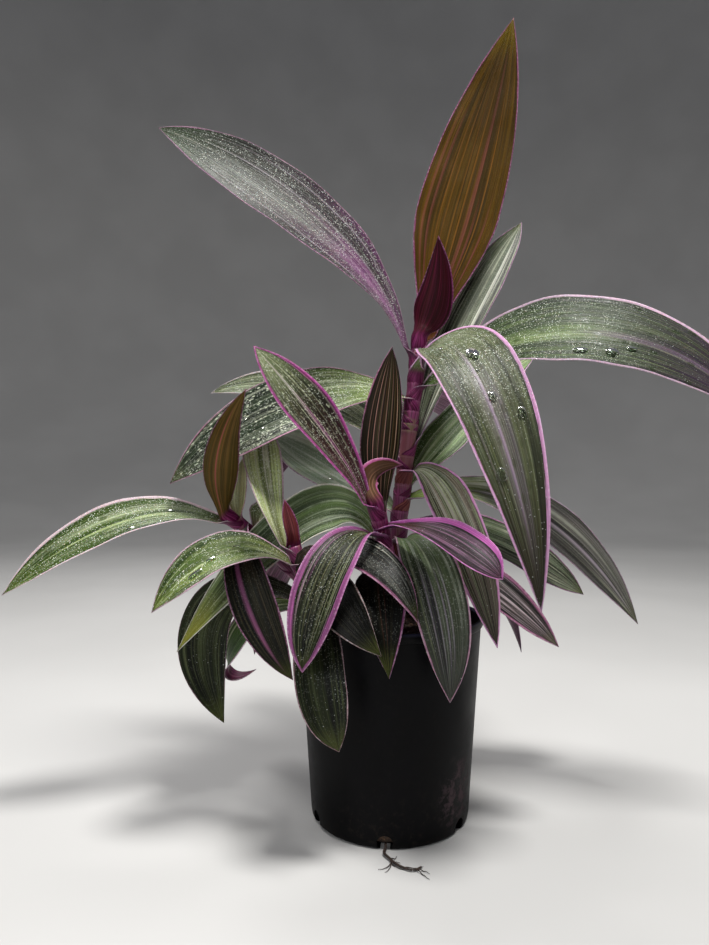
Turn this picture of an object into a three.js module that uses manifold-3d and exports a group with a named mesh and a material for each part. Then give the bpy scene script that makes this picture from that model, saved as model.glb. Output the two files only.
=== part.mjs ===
// A potted tradescantia: four leaning stems in a round nursery pot, each with its rosette of
// strap leaves. Millimetres, +Z up, the pot's flat foot centred on the origin, and -Y is the
// side that the plant is seen from.
import * as THREE from 'three';
import { mergeVertices } from 'three/addons/utils/BufferGeometryUtils.js';
import Module from 'manifold-3d';

const wasm = await Module();
wasm.setup();

// Driving sizes of the pot, which is a plain 10 cm nursery pot.
const POT_TOP_RADIUS = 50;
const POT_BASE_RADIUS = 42;
const POT_HEIGHT = 106;
const POT_WALL = 1.3;
const POT_FLOOR = 1.6;
const LIP_DEPTH = 5;
const LIP_STEP = 0.9;
const LIP_TAPER = 0.2;
const LIP_UNDER_RISE = 0.4;
const LIP_ROUND_IN = 0.6;
const LIP_ROUND_DROP = 0.8;
const LIP_INNER_EASE = 0.3;
const FOOT_CHAMFER = 2.2;
const INNER_FOOT_EASE = 0.4;
const POT_SIDES = 32;
const DRAIN_COUNT = 6;
const DRAIN_RADIUS = 4;
const DRAIN_TURN = -96;
const DRAIN_HEIGHT = 3.2;
const DRAIN_CUT_LENGTH = 14;
const DRAIN_SIDES = 10;

// Soil, and the gap that two touching pieces keep.
const GAP = 0.3;
const SOIL_TOP = 95;
const SOIL_LUMP = 1.1;
const SOIL_SWELL = { share: 0.6, x: 0.11, y: 0.09, shift: 0.8 };
const SOIL_GRAIN = { along: [0.43, 0.21], across: [-0.16, 0.37], shift: 1.7 };
const SOIL_SLACK = 0.2;
const SOIL_FOOT_IN = 1;
const SOIL_FOOT_RISE = 1.2;
const SOIL_RING_MARGIN = 0.1;
const SOIL_RINGS = [12, 24, 35, 44];

// Blades and the sheaths that hold them.
const BLADE_THICKNESS = 0.8;
const BLADE_STEP_LENGTH = 17;
const BLADE_STEPS = [5, 10];
const BLADE_ACROSS = 4;
const ROOT_RISE = 0.25;
const SHEATH_WALL = 1.2;
const SHEATH_HEIGHT = 2.6;
const ROUND_SIDES = 8;
const STEM_STEPS = 9;
const TIP_WIDTH = 1;
const CUP_QUARTER = 0.25;
const STEM_CUT_GAP = 0.27;
const WELD = 1e-4;

const COLOURS = {
  pot: { color: 0x17181b, roughness: 0.42 },
  soil: { color: 0x3a2c22, roughness: 0.95 },
  stem: { color: 0x9a4a73, roughness: 0.45 },
  root: { color: 0x7a5040, roughness: 0.8 },
  silver: { color: 0x93a088, roughness: 0.5 },
  bronze: { color: 0x9a6f2e, roughness: 0.45 },
  dark: { color: 0x4a5440, roughness: 0.45 },
  magenta: { color: 0x7b2350, roughness: 0.4 },
};

// Each stem is a cubic curve through its four points, from in the soil to its growing end.
const STEMS = {
  tall: { path: [[3, 8, 87], [1, 6, 145], [13, 9, 206], [17, 10, 257]], radii: [5, 4] },
  front: { path: [[1, -8, 87], [2, -10, 123], [-3, -16, 144], [-9, -26, 168]], radii: [4.5, 3.8] },
  left: { path: [[-26, -13, 87], [-37, -14, 106], [-45, -13, 124], [-51, -12, 143]], radii: [4, 3.5] },
  far: { path: [[-26, 15, 87], [-34, 14, 112], [-66, 8, 141], [-89, 2, 159]], radii: [4, 3.5] },
};

// Each leaf leaves its stem at `along` (0 low, 1 the growing end) and follows a cubic curve
// through the two pulls and the tip in `reach`. `face` is where its upper side looks, at the
// root and at the tip. `neck` is its width at the root, `peak` where it is widest, `fall` how
// late it narrows, and `cup` half the angle of its arched section at root, quarter and tip.
const LEAVES = [
  // Top rosette of the tall stem.
  { name: 'leaf_tall_upright', stem: 'tall', along: 0.97, width: 48,
    reach: [[32, 24, 308], [58, 30, 388], [72, 20, 442]],
    face: [[0, -1, 0.1], [-0.2, -1, 0.1]],
    neck: 10, peak: 0.42, fall: 2, cup: [40, 18, 12], look: 'bronze' },
  { name: 'leaf_tall_spear', stem: 'tall', along: 1, width: 22,
    reach: [[28, 4, 274], [28, 0, 292], [26, -4, 309]],
    face: [[0, 1, 0], [0, 1, 0]],
    neck: 15, peak: 0.3, fall: 1.5, cup: [52, 35, 15], look: 'magenta' },
  { name: 'leaf_tall_upper_left', stem: 'tall', along: 0.921, width: 44,
    reach: [[2, 10, 297], [-76, 0, 350], [-123, -8, 365]],
    face: [[1, -0.6, 0.4], [0.1, -1, 0.15]], neck: 6, peak: 0.45, fall: 2.4, cup: [24, 24, 14] },
  { name: 'leaf_tall_hanging_right', stem: 'tall', along: 0.872, width: 43,
    reach: [[31, -27, 279], [52, -82, 202], [66, -60, 118]],
    face: [[0, -0.8, 0.8], [0, -1, 0.1]], neck: 10, peak: 0.34, cup: [50, 18, 14] },
  { name: 'leaf_tall_arching_right', stem: 'tall', along: 0.814, width: 46,
    reach: [[62, -5, 270], [139, -28, 270], [184, -35, 204]],
    face: [[0, -0.8, 0.7], [-0.1, -1, 0.35]], peak: 0.45, cup: [50, 18, -8] },
  { name: 'leaf_tall_left', stem: 'tall', along: 0.777, width: 41,
    reach: [[-16, 0, 235], [-73, -2, 220], [-117, -8, 176]],
    face: [[0, -0.7, 0.8], [-0.2, -1, 0.4]], peak: 0.5, fall: 2.6 },
  { name: 'leaf_tall_back_left', stem: 'tall', along: 0.735, width: 34,
    reach: [[-10, 60, 248], [-50, 100, 232], [-75, 115, 175]],
    face: [[0, 0.4, 1], [-0.5, 1, 0.6]] },
  { name: 'leaf_tall_back_right', stem: 'tall', along: 0.712, width: 34,
    reach: [[4, 62, 240], [50, 105, 240], [80, 128, 198]],
    face: [[0, 0.4, 1], [0.5, 1, 0.6]] },
  { name: 'leaf_tall_folded', stem: 'tall', along: 0.63, width: 33,
    reach: [[26, 18, 234], [59, 30, 294], [80, 34, 330]],
    face: [[-0.7, -0.8, 0.2], [-0.7, -0.8, 0.3]],
    neck: 7, peak: 0.55, fall: 2.8, cup: [60, 45, 35] },
  { name: 'leaf_tall_far_left', stem: 'tall', along: 0.585, width: 30,
    reach: [[-13, 35, 225], [-68, 52, 246], [-108, 52, 231]],
    face: [[0, -0.8, 1], [0, -1, 0.6]] },
  { name: 'leaf_tall_clasping', stem: 'tall', along: 0.54, width: 24,
    reach: [[24, -12, 194], [41, -34, 144], [51, -36, 96]],
    face: [[0, -0.6, 1], [-0.1, -1, 0.1]], fall: 2.8 },
  { name: 'leaf_tall_back_ascending', stem: 'tall', along: 0.50, width: 30,
    reach: [[22, 28, 188], [60, 45, 231], [92, 46, 254]],
    face: [[-0.4, -0.8, 0.5], [-0.4, -0.8, 0.6]] },
  { name: 'leaf_tall_right', stem: 'tall', along: 0.455, width: 31,
    reach: [[44, 16, 183], [101, 18, 166], [138, 8, 98]],
    face: [[0, -0.6, 1], [0.1, -1, 0.6]], peak: 0.55, fall: 2.6 },
  { name: 'leaf_tall_behind', stem: 'tall', along: 0.41, width: 38,
    reach: [[-13, 30, 173], [-46, 42, 194], [-75, 44, 208]],
    face: [[0.2, -0.8, 1], [0.2, -1, 0.4]], neck: 11, peak: 0.5 },
  { name: 'leaf_tall_lower_right', stem: 'tall', along: 0.36, width: 34,
    reach: [[37, 28, 158], [90, 40, 133], [118, 38, 109]],
    face: [[0, -0.6, 1], [0, -0.8, 0.8]], peak: 0.5, fall: 2.6 },
  { name: 'leaf_tall_centre', stem: 'tall', along: 0.315, width: 28,
    reach: [[11, -25, 161], [26, -58, 124], [25, -56, 76]],
    face: [[0, -0.5, 1], [0.1, -1, 0.1]], peak: 0.5, fall: 3.2 },
  { name: 'leaf_tall_striped', stem: 'tall', along: 0.27, width: 23,
    reach: [[30, -12, 144], [62, -24, 118], [84, -26, 94]],
    face: [[0, -0.6, 1], [0.2, -1, 0.5]], fall: 2.8 },
  { name: 'leaf_tall_low_back', stem: 'tall', along: 0.225, width: 28,
    reach: [[5, 50, 152], [-5, 88, 132], [-8, 100, 82]],
    face: [[0, 0.5, 1], [0, 1, 0.2]] },
  { name: 'leaf_tall_low_right', stem: 'tall', along: 0.18, width: 25,
    reach: [[40, 35, 142], [75, 52, 112], [85, 55, 70]],
    face: [[0, 0.2, 1], [0.8, 0.2, 0.6]] },

  // Rosette of the front stem.
  { name: 'leaf_front_young', stem: 'front', along: 1, width: 13,
    reach: [[-17, -31, 180], [-8, -25, 187], [6, -17, 186]],
    face: [[-0.2, 0.8, 0.3], [-0.2, 0.8, 0.5]], neck: 7, peak: 0.4 },
  { name: 'leaf_front_upright', stem: 'front', along: 0.87, width: 22,
    reach: [[-9, -16, 191], [-2, -9, 223], [1, -7, 249]],
    face: [[0, 1, 0], [0, 1, 0]], neck: 10, cup: [60, 30, 15], look: 'dark' },
  { name: 'leaf_front_ascending', stem: 'front', along: 0.94, width: 28,
    reach: [[-19, -38, 187], [-46, -52, 217], [-66, -52, 241]],
    face: [[0.5, -0.7, 0.5], [0.4, -0.9, 0.4]],
    neck: 8, peak: 0.6, cup: [55, 35, 25], look: 'dark' },
  { name: 'leaf_front_folded', stem: 'front', along: 0.80, width: 24,
    reach: [[13, -50, 162], [34, -74, 146], [45, -76, 136]],
    face: [[0.1, -0.6, 1], [0.2, -0.8, 0.7]], peak: 0.55, fall: 3, cup: [60, 45, 35] },
  { name: 'leaf_front_hanging', stem: 'front', along: 0.73, width: 26,
    reach: [[-23, -50, 167], [-41, -72, 122], [-42, -70, 94]],
    face: [[-0.3, -0.6, 0.8], [-0.2, -1, 0.1]],
    peak: 0.5, fall: 2.8, cup: [60, 35, 25], look: 'dark' },
  { name: 'leaf_front_back_left', stem: 'front', along: 0.65, width: 27,
    reach: [[-22, 17, 186], [-64, -6, 157], [-112, -13, 88]],
    face: [[0, -1, 0.1], [-0.3, -1, 0.3]], neck: 8, fall: 2.6 },
  { name: 'leaf_front_low', stem: 'front', along: 0.50, width: 26,
    reach: [[-8, -34, 134], [-6, -56, 124], [-3, -56, 87]],
    face: [[-0.2, -0.6, 0.8], [-0.1, -1, 0.1]], look: 'dark' },

  // Rosette of the left stem.
  { name: 'leaf_left_spear', stem: 'left', along: 1, width: 8,
    reach: [[-50, -15, 152], [-54, -17, 160], [-55, -18, 168]],
    face: [[0, -1, 0], [0, -1, 0]], neck: 6, peak: 0.4, cup: [60, 40, 30], look: 'magenta' },
  { name: 'leaf_left_reaching', stem: 'left', along: 0.795, width: 26,
    reach: [[-65, -32, 152], [-92, -46, 150], [-116, -44, 115]],
    face: [[-0.2, -0.6, 1], [-0.3, -0.9, 0.6]], neck: 8, peak: 0.55, fall: 2.6 },
  { name: 'leaf_left_upright', stem: 'left', along: 0.935, width: 23,
    reach: [[-63, -12, 157], [-74, 4, 192], [-71, 16, 212]],
    face: [[1, -0.5, 0.4], [0.1, -1, 0.1]], neck: 8, peak: 0.65, fall: 2.6, cup: [60, 30, 15] },
  { name: 'leaf_left_short', stem: 'left', along: 0.74, width: 14,
    reach: [[-47, -20, 143], [-39, -26, 142], [-38, -22, 130]],
    face: [[0, -0.5, 1], [0.3, -1, 0.4]], neck: 7, look: 'dark' },
  { name: 'leaf_left_crossing', stem: 'left', along: 0.65, width: 24,
    reach: [[-32, -22, 153], [-1, -46, 145], [10, -58, 113]],
    face: [[0.2, -0.5, 1], [0.2, -0.9, 0.5]], neck: 8 },
  { name: 'leaf_left_under', stem: 'left', along: 0.574, width: 26,
    reach: [[-40, -32, 138], [-27, -60, 119], [-7, -66, 100]],
    face: [[0, -0.5, 1], [0.1, -1, 0.2]], neck: 8, look: 'dark' },
  { name: 'leaf_left_drooping', stem: 'left', along: 0.473, width: 28,
    reach: [[-72, -1, 134], [-127, 11, 112], [-91, 6, 44]],
    face: [[0, -0.8, 0.8], [0.1, -1, 0.1]], neck: 7, peak: 0.6, fall: 3.6, look: 'dark' },
  { name: 'leaf_left_curled', stem: 'left', along: 0.398, width: 20,
    reach: [[-76, 9, 127], [-112, 20, 50], [-75, 18, 70]],
    face: [[-0.4, -1, 1], [-0.4, 0.5, -1]], neck: 7 },
  { name: 'leaf_left_over_pot', stem: 'left', along: 0.322, width: 24,
    reach: [[-36, -38, 121], [-40, -68, 90], [-26, -60, 55]],
    face: [[0, -0.5, 1], [-0.1, -1, 0.1]], neck: 8, peak: 0.6, fall: 3.6, look: 'dark' },

  // Rosette of the far left stem.
  { name: 'leaf_far_inner', stem: 'far', along: 0.79, width: 16,
    reach: [[-73, 14, 160], [-70, 16, 165], [-61, 14, 152]],
    face: [[0.2, -0.5, 1], [0.4, -1, 0.5]], neck: 7 },
  { name: 'leaf_far_upright', stem: 'far', along: 1, width: 19.5,
    reach: [[-92, -20, 178], [-85, -35, 203], [-72, -36, 223]],
    face: [[0, 1, 0], [0, 1, 0]],
    neck: 10, peak: 0.38, fall: 1.7, cup: [60, 30, 20], look: 'bronze' },
  { name: 'leaf_far_short', stem: 'far', along: 0.905, width: 16,
    reach: [[-85, 10, 164], [-82, 14, 178], [-82, 14, 190]],
    face: [[-0.6, -0.8, 0], [-0.6, -0.8, 0]], neck: 7, cup: [60, 40, 20] },
  { name: 'leaf_far_long', stem: 'far', along: 0.95, width: 28,
    reach: [[-117, -3, 170], [-158, -18, 159], [-200, -20, 119]],
    face: [[0, -0.6, 1], [0, -0.8, 0.6]], peak: 0.52, fall: 2.4 },
  { name: 'leaf_far_hanging', stem: 'far', along: 0.857, width: 23,
    reach: [[-83, -26, 157], [-70, -40, 111], [-49, -38, 81]],
    face: [[-0.2, -0.6, 0.8], [-0.1, -1, 0.1]],
    neck: 7, peak: 0.6, cup: [60, 25, 15], look: 'dark' },
  { name: 'leaf_far_low_back', stem: 'far', along: 0.58, width: 26,
    reach: [[-60, 45, 132], [-80, 70, 112], [-85, 80, 62]],
    face: [[0, 0.5, 1], [-0.3, 1, 0.3]] },
];

const LEAF_DEFAULTS = { neck: 9, peak: 0.42, fall: 2.2, cup: [60, 28, 14], look: 'silver' };

// A root that has grown out of a drain hole and lies on the surface the pot stands on.
const ROOT_RADIUS = 0.7;
const ROOT_PATH = [[-4, -40.5, 2.6], [-5, -46, 1.6], [-1, -54, 1.1], [7, -60, 1], [12, -57, 1]];
const ROOT_STEPS = 12;
const ROOT_SIDES = 6;
const ROOT_TAPER = 0.4;

const vector = (point) => new THREE.Vector3(...point);
const smooth = (x) => {
  const held = Math.min(Math.max(x, 0), 1);
  return held * held * (3 - 2 * held);
};
const across = (direction, along) => {
  const square = direction.clone().addScaledVector(along, -direction.dot(along));
  return square.normalize();
};

// Joining and cutting closed meshes.

function solidOf(geometry) {
  const bare = geometry.clone();
  bare.deleteAttribute('normal');
  bare.deleteAttribute('uv');
  const welded = mergeVertices(bare, WELD);
  const vertProperties = new Float32Array(welded.attributes.position.array);
  const triVerts = new Uint32Array(welded.index.array);
  return new wasm.Manifold(new wasm.Mesh({ numProp: 3, vertProperties, triVerts }));
}

function geometryOf(solid) {
  const mesh = solid.getMesh();
  const geometry = new THREE.BufferGeometry();
  geometry.setAttribute('position', new THREE.BufferAttribute(new Float32Array(mesh.vertProperties), 3));
  geometry.setIndex(new THREE.BufferAttribute(new Uint32Array(mesh.triVerts), 1));
  geometry.computeVertexNormals();
  return geometry;
}

// The biggest of a solid's separate bodies, which drops the scraps that a cut leaves.
function largest(solid) {
  return solid.decompose().sort((a, b) => b.volume() - a.volume())[0];
}

// A closed skin over a stack of sections that all have the same number of points, capped with
// a fan at both ends.
function loft(sections, closed = false) {
  const count = sections[0].length;
  const corners = sections.flat();
  const triangles = [];
  const spans = closed ? sections.length : sections.length - 1;
  for (let i = 0; i < spans; i += 1) {
    const low = i * count;
    const high = ((i + 1) % sections.length) * count;
    for (let j = 0; j < count; j += 1) {
      const next = (j + 1) % count;
      triangles.push(low + j, low + next, high + next, low + j, high + next, high + j);
    }
  }
  if (!closed) {
    const last = (sections.length - 1) * count;
    for (let j = 1; j < count - 1; j += 1) {
      triangles.push(0, j + 1, j);
      triangles.push(last, last + j, last + j + 1);
    }
  }
  return meshFrom(corners, triangles);
}

// A geometry with its faces pointing out, whichever way its triangles were wound.
function meshFrom(corners, triangles) {
  let volume = 0;
  for (let k = 0; k < triangles.length; k += 3) {
    const [a, b, c] = [corners[triangles[k]], corners[triangles[k + 1]], corners[triangles[k + 2]]];
    volume += a.dot(new THREE.Vector3().crossVectors(b, c)) / 6;
  }
  if (volume < 0) triangles.reverse();
  const geometry = new THREE.BufferGeometry();
  const numbers = corners.flatMap((corner) => corner.toArray());
  geometry.setAttribute('position', new THREE.Float32BufferAttribute(numbers, 3));
  geometry.setIndex(triangles);
  geometry.computeVertexNormals();
  return geometry;
}

// Stems.

function stemCurve(stem) {
  return new THREE.CubicBezierCurve3(...stem.path.map(vector));
}

function stemRadius(stem, along) {
  return THREE.MathUtils.lerp(stem.radii[0], stem.radii[1], along);
}

// A ring of points round `centre`, square to `direction`.
function ring(centre, direction, radius, sides = ROUND_SIDES) {
  const side = across(new THREE.Vector3(1, 0, 0), direction);
  const front = new THREE.Vector3().crossVectors(direction, side);
  return Array.from({ length: sides }, (_, k) => {
    const turn = (2 * Math.PI * k) / sides;
    const point = centre.clone().addScaledVector(side, radius * Math.cos(turn));
    return point.addScaledVector(front, radius * Math.sin(turn));
  });
}

function stemGeometry(stem, grow = 0) {
  const curve = stemCurve(stem);
  const sections = [];
  for (let i = 0; i <= STEM_STEPS; i += 1) {
    const along = i / STEM_STEPS;
    const direction = curve.getTangent(along);
    const centre = curve.getPoint(along);
    if (i === 0) centre.addScaledVector(direction, -grow);
    sections.push(ring(centre, direction, stemRadius(stem, along) + grow));
  }
  return loft(sections);
}

// The closed tube at the root of a leaf, which clasps the stem with a small gap.
function sheathGeometry(stem, along) {
  const curve = stemCurve(stem);
  const direction = curve.getTangent(along);
  const centre = curve.getPoint(along);
  const inner = (stemRadius(stem, along) + GAP) / Math.cos(Math.PI / ROUND_SIDES);
  const rises = [-SHEATH_HEIGHT / 2, SHEATH_HEIGHT / 2];
  const ends = rises.map((rise) => centre.clone().addScaledVector(direction, rise));
  return loft([
    ring(ends[0], direction, inner),
    ring(ends[0], direction, inner + SHEATH_WALL),
    ring(ends[1], direction, inner + SHEATH_WALL),
    ring(ends[1], direction, inner),
  ], true);
}

// Leaves.

function bladeWidth(leaf, t) {
  const rise = THREE.MathUtils.lerp(leaf.neck, leaf.width, smooth(t / leaf.peak));
  const past = Math.max((t - leaf.peak) / (1 - leaf.peak), 0);
  return Math.max(rise * (1 - past ** leaf.fall), TIP_WIDTH);
}

function bladeCup(leaf, t) {
  const [root, quarter, tip] = leaf.cup;
  const degrees = t < CUP_QUARTER
    ? THREE.MathUtils.lerp(root, quarter, smooth(t / CUP_QUARTER))
    : THREE.MathUtils.lerp(quarter, tip, (t - CUP_QUARTER) / (1 - CUP_QUARTER));
  return THREE.MathUtils.degToRad(degrees);
}

// Where the blade starts: on its sheath's wall, or just over the stem's end for the innermost.
function bladeRoot(leaf, stem) {
  const curve = stemCurve(stem);
  const point = curve.getPoint(leaf.along);
  const direction = curve.getTangent(leaf.along);
  if (leaf.along === 1) return point.addScaledVector(direction, BLADE_THICKNESS);
  const outward = across(vector(leaf.reach[0]).sub(point), direction);
  const inner = (stemRadius(stem, leaf.along) + GAP) / Math.cos(Math.PI / ROUND_SIDES);
  return point.addScaledVector(outward, inner + SHEATH_WALL / 2 + ROOT_RISE);
}

// One section across the blade, an arc that opens to the leaf's upper side, as a closed loop of
// the upper points and then the lower ones back.
function bladeSection(leaf, curve, t) {
  const centre = curve.getPoint(t);
  const direction = curve.getTangent(t);
  const up = across(vector(leaf.face[0]).lerp(vector(leaf.face[1]), t), direction);
  const side = new THREE.Vector3().crossVectors(direction, up);
  const cup = bladeCup(leaf, t);
  const radius = bladeWidth(leaf, t) / (2 * cup);
  const upper = [];
  const lower = [];
  for (let k = 0; k <= BLADE_ACROSS; k += 1) {
    const angle = cup * ((2 * k) / BLADE_ACROSS - 1);
    const point = centre.clone().addScaledVector(side, radius * Math.sin(angle));
    point.addScaledVector(up, radius * (1 - Math.cos(angle)));
    const normal = up.clone().multiplyScalar(Math.cos(angle)).addScaledVector(side, -Math.sin(angle));
    upper.push(point.clone().addScaledVector(normal, BLADE_THICKNESS / 2));
    lower.unshift(point.clone().addScaledVector(normal, -BLADE_THICKNESS / 2));
  }
  return [...upper, ...lower];
}

// The blade as a closed solid with the same split of each cell on its two faces.
function bladeGeometry(leaf, stem) {
  const curve = new THREE.CubicBezierCurve3(bladeRoot(leaf, stem), ...leaf.reach.map(vector));
  const steps = THREE.MathUtils.clamp(Math.round(curve.getLength() / BLADE_STEP_LENGTH), ...BLADE_STEPS);
  const sections = [];
  for (let i = 0; i <= steps; i += 1) sections.push(bladeSection(leaf, curve, i / steps));
  const row = 2 * (BLADE_ACROSS + 1);
  const at = (i, k, under) => i * row + (under ? row - 1 - k : k);
  const triangles = [];
  const quad = (a, b, c, d) => triangles.push(a, b, c, a, c, d);
  for (let i = 0; i < steps; i += 1) {
    for (let k = 0; k < BLADE_ACROSS; k += 1) {
      quad(at(i, k, false), at(i, k + 1, false), at(i + 1, k + 1, false), at(i + 1, k, false));
      triangles.push(at(i, k, true), at(i + 1, k + 1, true), at(i, k + 1, true));
      triangles.push(at(i, k, true), at(i + 1, k, true), at(i + 1, k + 1, true));
    }
    quad(at(i, 0, true), at(i, 0, false), at(i + 1, 0, false), at(i + 1, 0, true));
    const edge = BLADE_ACROSS;
    quad(at(i, edge, false), at(i, edge, true), at(i + 1, edge, true), at(i + 1, edge, false));
  }
  for (let k = 0; k < BLADE_ACROSS; k += 1) {
    quad(at(0, k, true), at(0, k + 1, true), at(0, k + 1, false), at(0, k, false));
    quad(at(steps, k, false), at(steps, k + 1, false), at(steps, k + 1, true), at(steps, k, true));
  }
  return meshFrom(sections.flat(), triangles);
}

// A leaf is its sheath and its blade, cut back to the usual gap from its own stem.
function leafGeometry(leaf) {
  const stem = STEMS[leaf.stem];
  const blade = solidOf(bladeGeometry(leaf, stem));
  const whole = leaf.along === 1 ? blade : blade.add(solidOf(sheathGeometry(stem, leaf.along)));
  return geometryOf(largest(whole.subtract(solidOf(stemGeometry(stem, STEM_CUT_GAP)))));
}

// Pot, soil and root.

function turned(profile, sides = POT_SIDES) {
  const outline = profile.map(([radius, height]) => new THREE.Vector2(radius, height));
  return new THREE.LatheGeometry(outline, sides).rotateX(Math.PI / 2);
}

function potRadius(height) {
  return THREE.MathUtils.lerp(POT_BASE_RADIUS, POT_TOP_RADIUS - LIP_STEP, height / POT_HEIGHT);
}

function drainCutters() {
  return Array.from({ length: DRAIN_COUNT }, (_, k) => {
    const turn = THREE.MathUtils.degToRad(DRAIN_TURN + (360 / DRAIN_COUNT) * k);
    const cutter = new THREE.CylinderGeometry(DRAIN_RADIUS, DRAIN_RADIUS, DRAIN_CUT_LENGTH, DRAIN_SIDES);
    cutter.rotateZ(Math.PI / 2).translate(POT_BASE_RADIUS, 0, DRAIN_HEIGHT);
    return solidOf(cutter.rotateZ(turn));
  });
}

function potGeometry() {
  const lipTop = POT_TOP_RADIUS;
  const lipFoot = POT_HEIGHT - LIP_DEPTH;
  const shell = turned([
    [0, 0],
    [POT_BASE_RADIUS - FOOT_CHAMFER, 0],
    [POT_BASE_RADIUS, FOOT_CHAMFER],
    [potRadius(lipFoot), lipFoot],
    [lipTop - LIP_TAPER, lipFoot + LIP_UNDER_RISE],
    [lipTop, POT_HEIGHT - LIP_ROUND_DROP],
    [lipTop - LIP_ROUND_IN, POT_HEIGHT],
    [lipTop - POT_WALL - LIP_STEP + LIP_INNER_EASE, POT_HEIGHT],
    [potRadius(lipFoot) - POT_WALL, lipFoot],
    [POT_BASE_RADIUS - POT_WALL, FOOT_CHAMFER + INNER_FOOT_EASE],
    [POT_BASE_RADIUS - FOOT_CHAMFER - INNER_FOOT_EASE, POT_FLOOR],
    [0, POT_FLOOR],
  ]);
  return geometryOf(drainCutters().reduce((solid, cutter) => solid.subtract(cutter), solidOf(shell)));
}

// Height of the soil at a point: a slow swell and finer lumps.
function soilHeight(x, y) {
  const wave = Math.sin(x * SOIL_SWELL.x + SOIL_SWELL.shift) * Math.cos(y * SOIL_SWELL.y);
  const swell = SOIL_SWELL.share * wave;
  const along = x * SOIL_GRAIN.along[0] + y * SOIL_GRAIN.along[1];
  const sideways = x * SOIL_GRAIN.across[0] + y * SOIL_GRAIN.across[1];
  const lumps = Math.sin(along) * Math.sin(sideways + SOIL_GRAIN.shift);
  return SOIL_TOP + SOIL_LUMP * (swell + lumps);
}

function soilGeometry() {
  const floor = POT_FLOOR + GAP;
  const inset = POT_WALL + GAP + SOIL_SLACK;
  const body = turned([
    [0, floor],
    [POT_BASE_RADIUS - FOOT_CHAMFER - SOIL_FOOT_IN, floor],
    [POT_BASE_RADIUS - inset, FOOT_CHAMFER + SOIL_FOOT_RISE],
    [potRadius(SOIL_TOP) - inset, SOIL_TOP],
    ...SOIL_RINGS.toReversed().map((radius) => [radius, SOIL_TOP]),
    [0, SOIL_TOP],
  ]);
  const place = body.attributes.position;
  for (let k = 0; k < place.count; k += 1) {
    const inside = Math.hypot(place.getX(k), place.getY(k)) <= SOIL_RINGS.at(-1) + SOIL_RING_MARGIN;
    const top = place.getZ(k) > SOIL_TOP - SOIL_RING_MARGIN;
    if (inside && top) place.setZ(k, soilHeight(place.getX(k), place.getY(k)));
  }
  return geometryOf(Object.values(STEMS).reduce(
    (solid, stem) => solid.subtract(solidOf(stemGeometry(stem, GAP))),
    solidOf(body),
  ));
}

function rootGeometry() {
  const curve = new THREE.CatmullRomCurve3(ROOT_PATH.map(vector));
  const sections = [];
  for (let i = 0; i <= ROOT_STEPS; i += 1) {
    const t = i / ROOT_STEPS;
    const radius = ROOT_RADIUS * (1 - ROOT_TAPER * t);
    sections.push(ring(curve.getPoint(t), curve.getTangent(t), radius, ROOT_SIDES));
  }
  return loft(sections);
}

// The assembly.

function piece(name, geometry, look) {
  const material = new THREE.MeshStandardMaterial({ metalness: 0, ...COLOURS[look] });
  const mesh = new THREE.Mesh(geometry, material);
  mesh.name = name;
  return mesh;
}

const plant = new THREE.Group();
plant.add(piece('pot', potGeometry(), 'pot'));
plant.add(piece('soil', soilGeometry(), 'soil'));
plant.add(piece('root', rootGeometry(), 'root'));
for (const [name, stem] of Object.entries(STEMS)) {
  plant.add(piece(`stem_${name}`, stemGeometry(stem), 'stem'));
}
for (const row of LEAVES) {
  const leaf = { ...LEAF_DEFAULTS, ...row };
  plant.add(piece(leaf.name, leafGeometry(leaf), leaf.look));
}

export default plant;
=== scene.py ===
"""Looks of the potted tradescantia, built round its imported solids.

The tables are in millimetres, in the frame of the solids: +Z up, the pot's foot on the origin
and -Y the side that the photograph was taken from. The scene itself is in metres.
"""

import math

import bpy
import numpy as np
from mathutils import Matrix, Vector


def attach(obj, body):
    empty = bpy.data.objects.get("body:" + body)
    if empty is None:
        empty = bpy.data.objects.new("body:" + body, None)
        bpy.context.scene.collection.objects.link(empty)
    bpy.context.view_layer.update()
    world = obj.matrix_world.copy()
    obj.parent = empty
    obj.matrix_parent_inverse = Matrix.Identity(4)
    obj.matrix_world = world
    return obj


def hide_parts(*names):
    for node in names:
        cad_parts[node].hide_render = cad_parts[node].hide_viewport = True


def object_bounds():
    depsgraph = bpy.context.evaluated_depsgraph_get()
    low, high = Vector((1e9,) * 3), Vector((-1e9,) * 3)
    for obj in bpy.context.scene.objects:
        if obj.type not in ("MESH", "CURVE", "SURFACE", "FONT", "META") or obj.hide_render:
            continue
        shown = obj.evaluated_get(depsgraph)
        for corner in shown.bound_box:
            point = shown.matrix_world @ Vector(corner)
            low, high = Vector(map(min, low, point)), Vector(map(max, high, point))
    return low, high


MM = 0.001
FULL_TURN = 2 * math.pi

# Camera: a level view from in front, with the photograph's frame and no shift.
CAMERA_PLACE = (-19, -370, 182)
FRAME_HEIGHT_PX = 945
FOCAL_PX = 682
SENSOR_MM = 36

# Pot, soil and root, with the driving sizes of the solids.
POT_TOP_RADIUS = 50
POT_BASE_RADIUS = 42
POT_HEIGHT = 106
POT_WALL = 1.3
POT_FLOOR = 1.6
LIP_DEPTH = 5
LIP_STEP = 0.9
FOOT_CHAMFER = 2.2
DRAIN_COUNT = 6
DRAIN_RADIUS = 4
DRAIN_TURN = -96
SOIL_TOP = 95
ROOT_PATH = ((-4, -40.5, 2.6), (-5, -46, 1.6), (-1, -54, 1.1), (7, -60, 1), (12, -57, 1))

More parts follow.
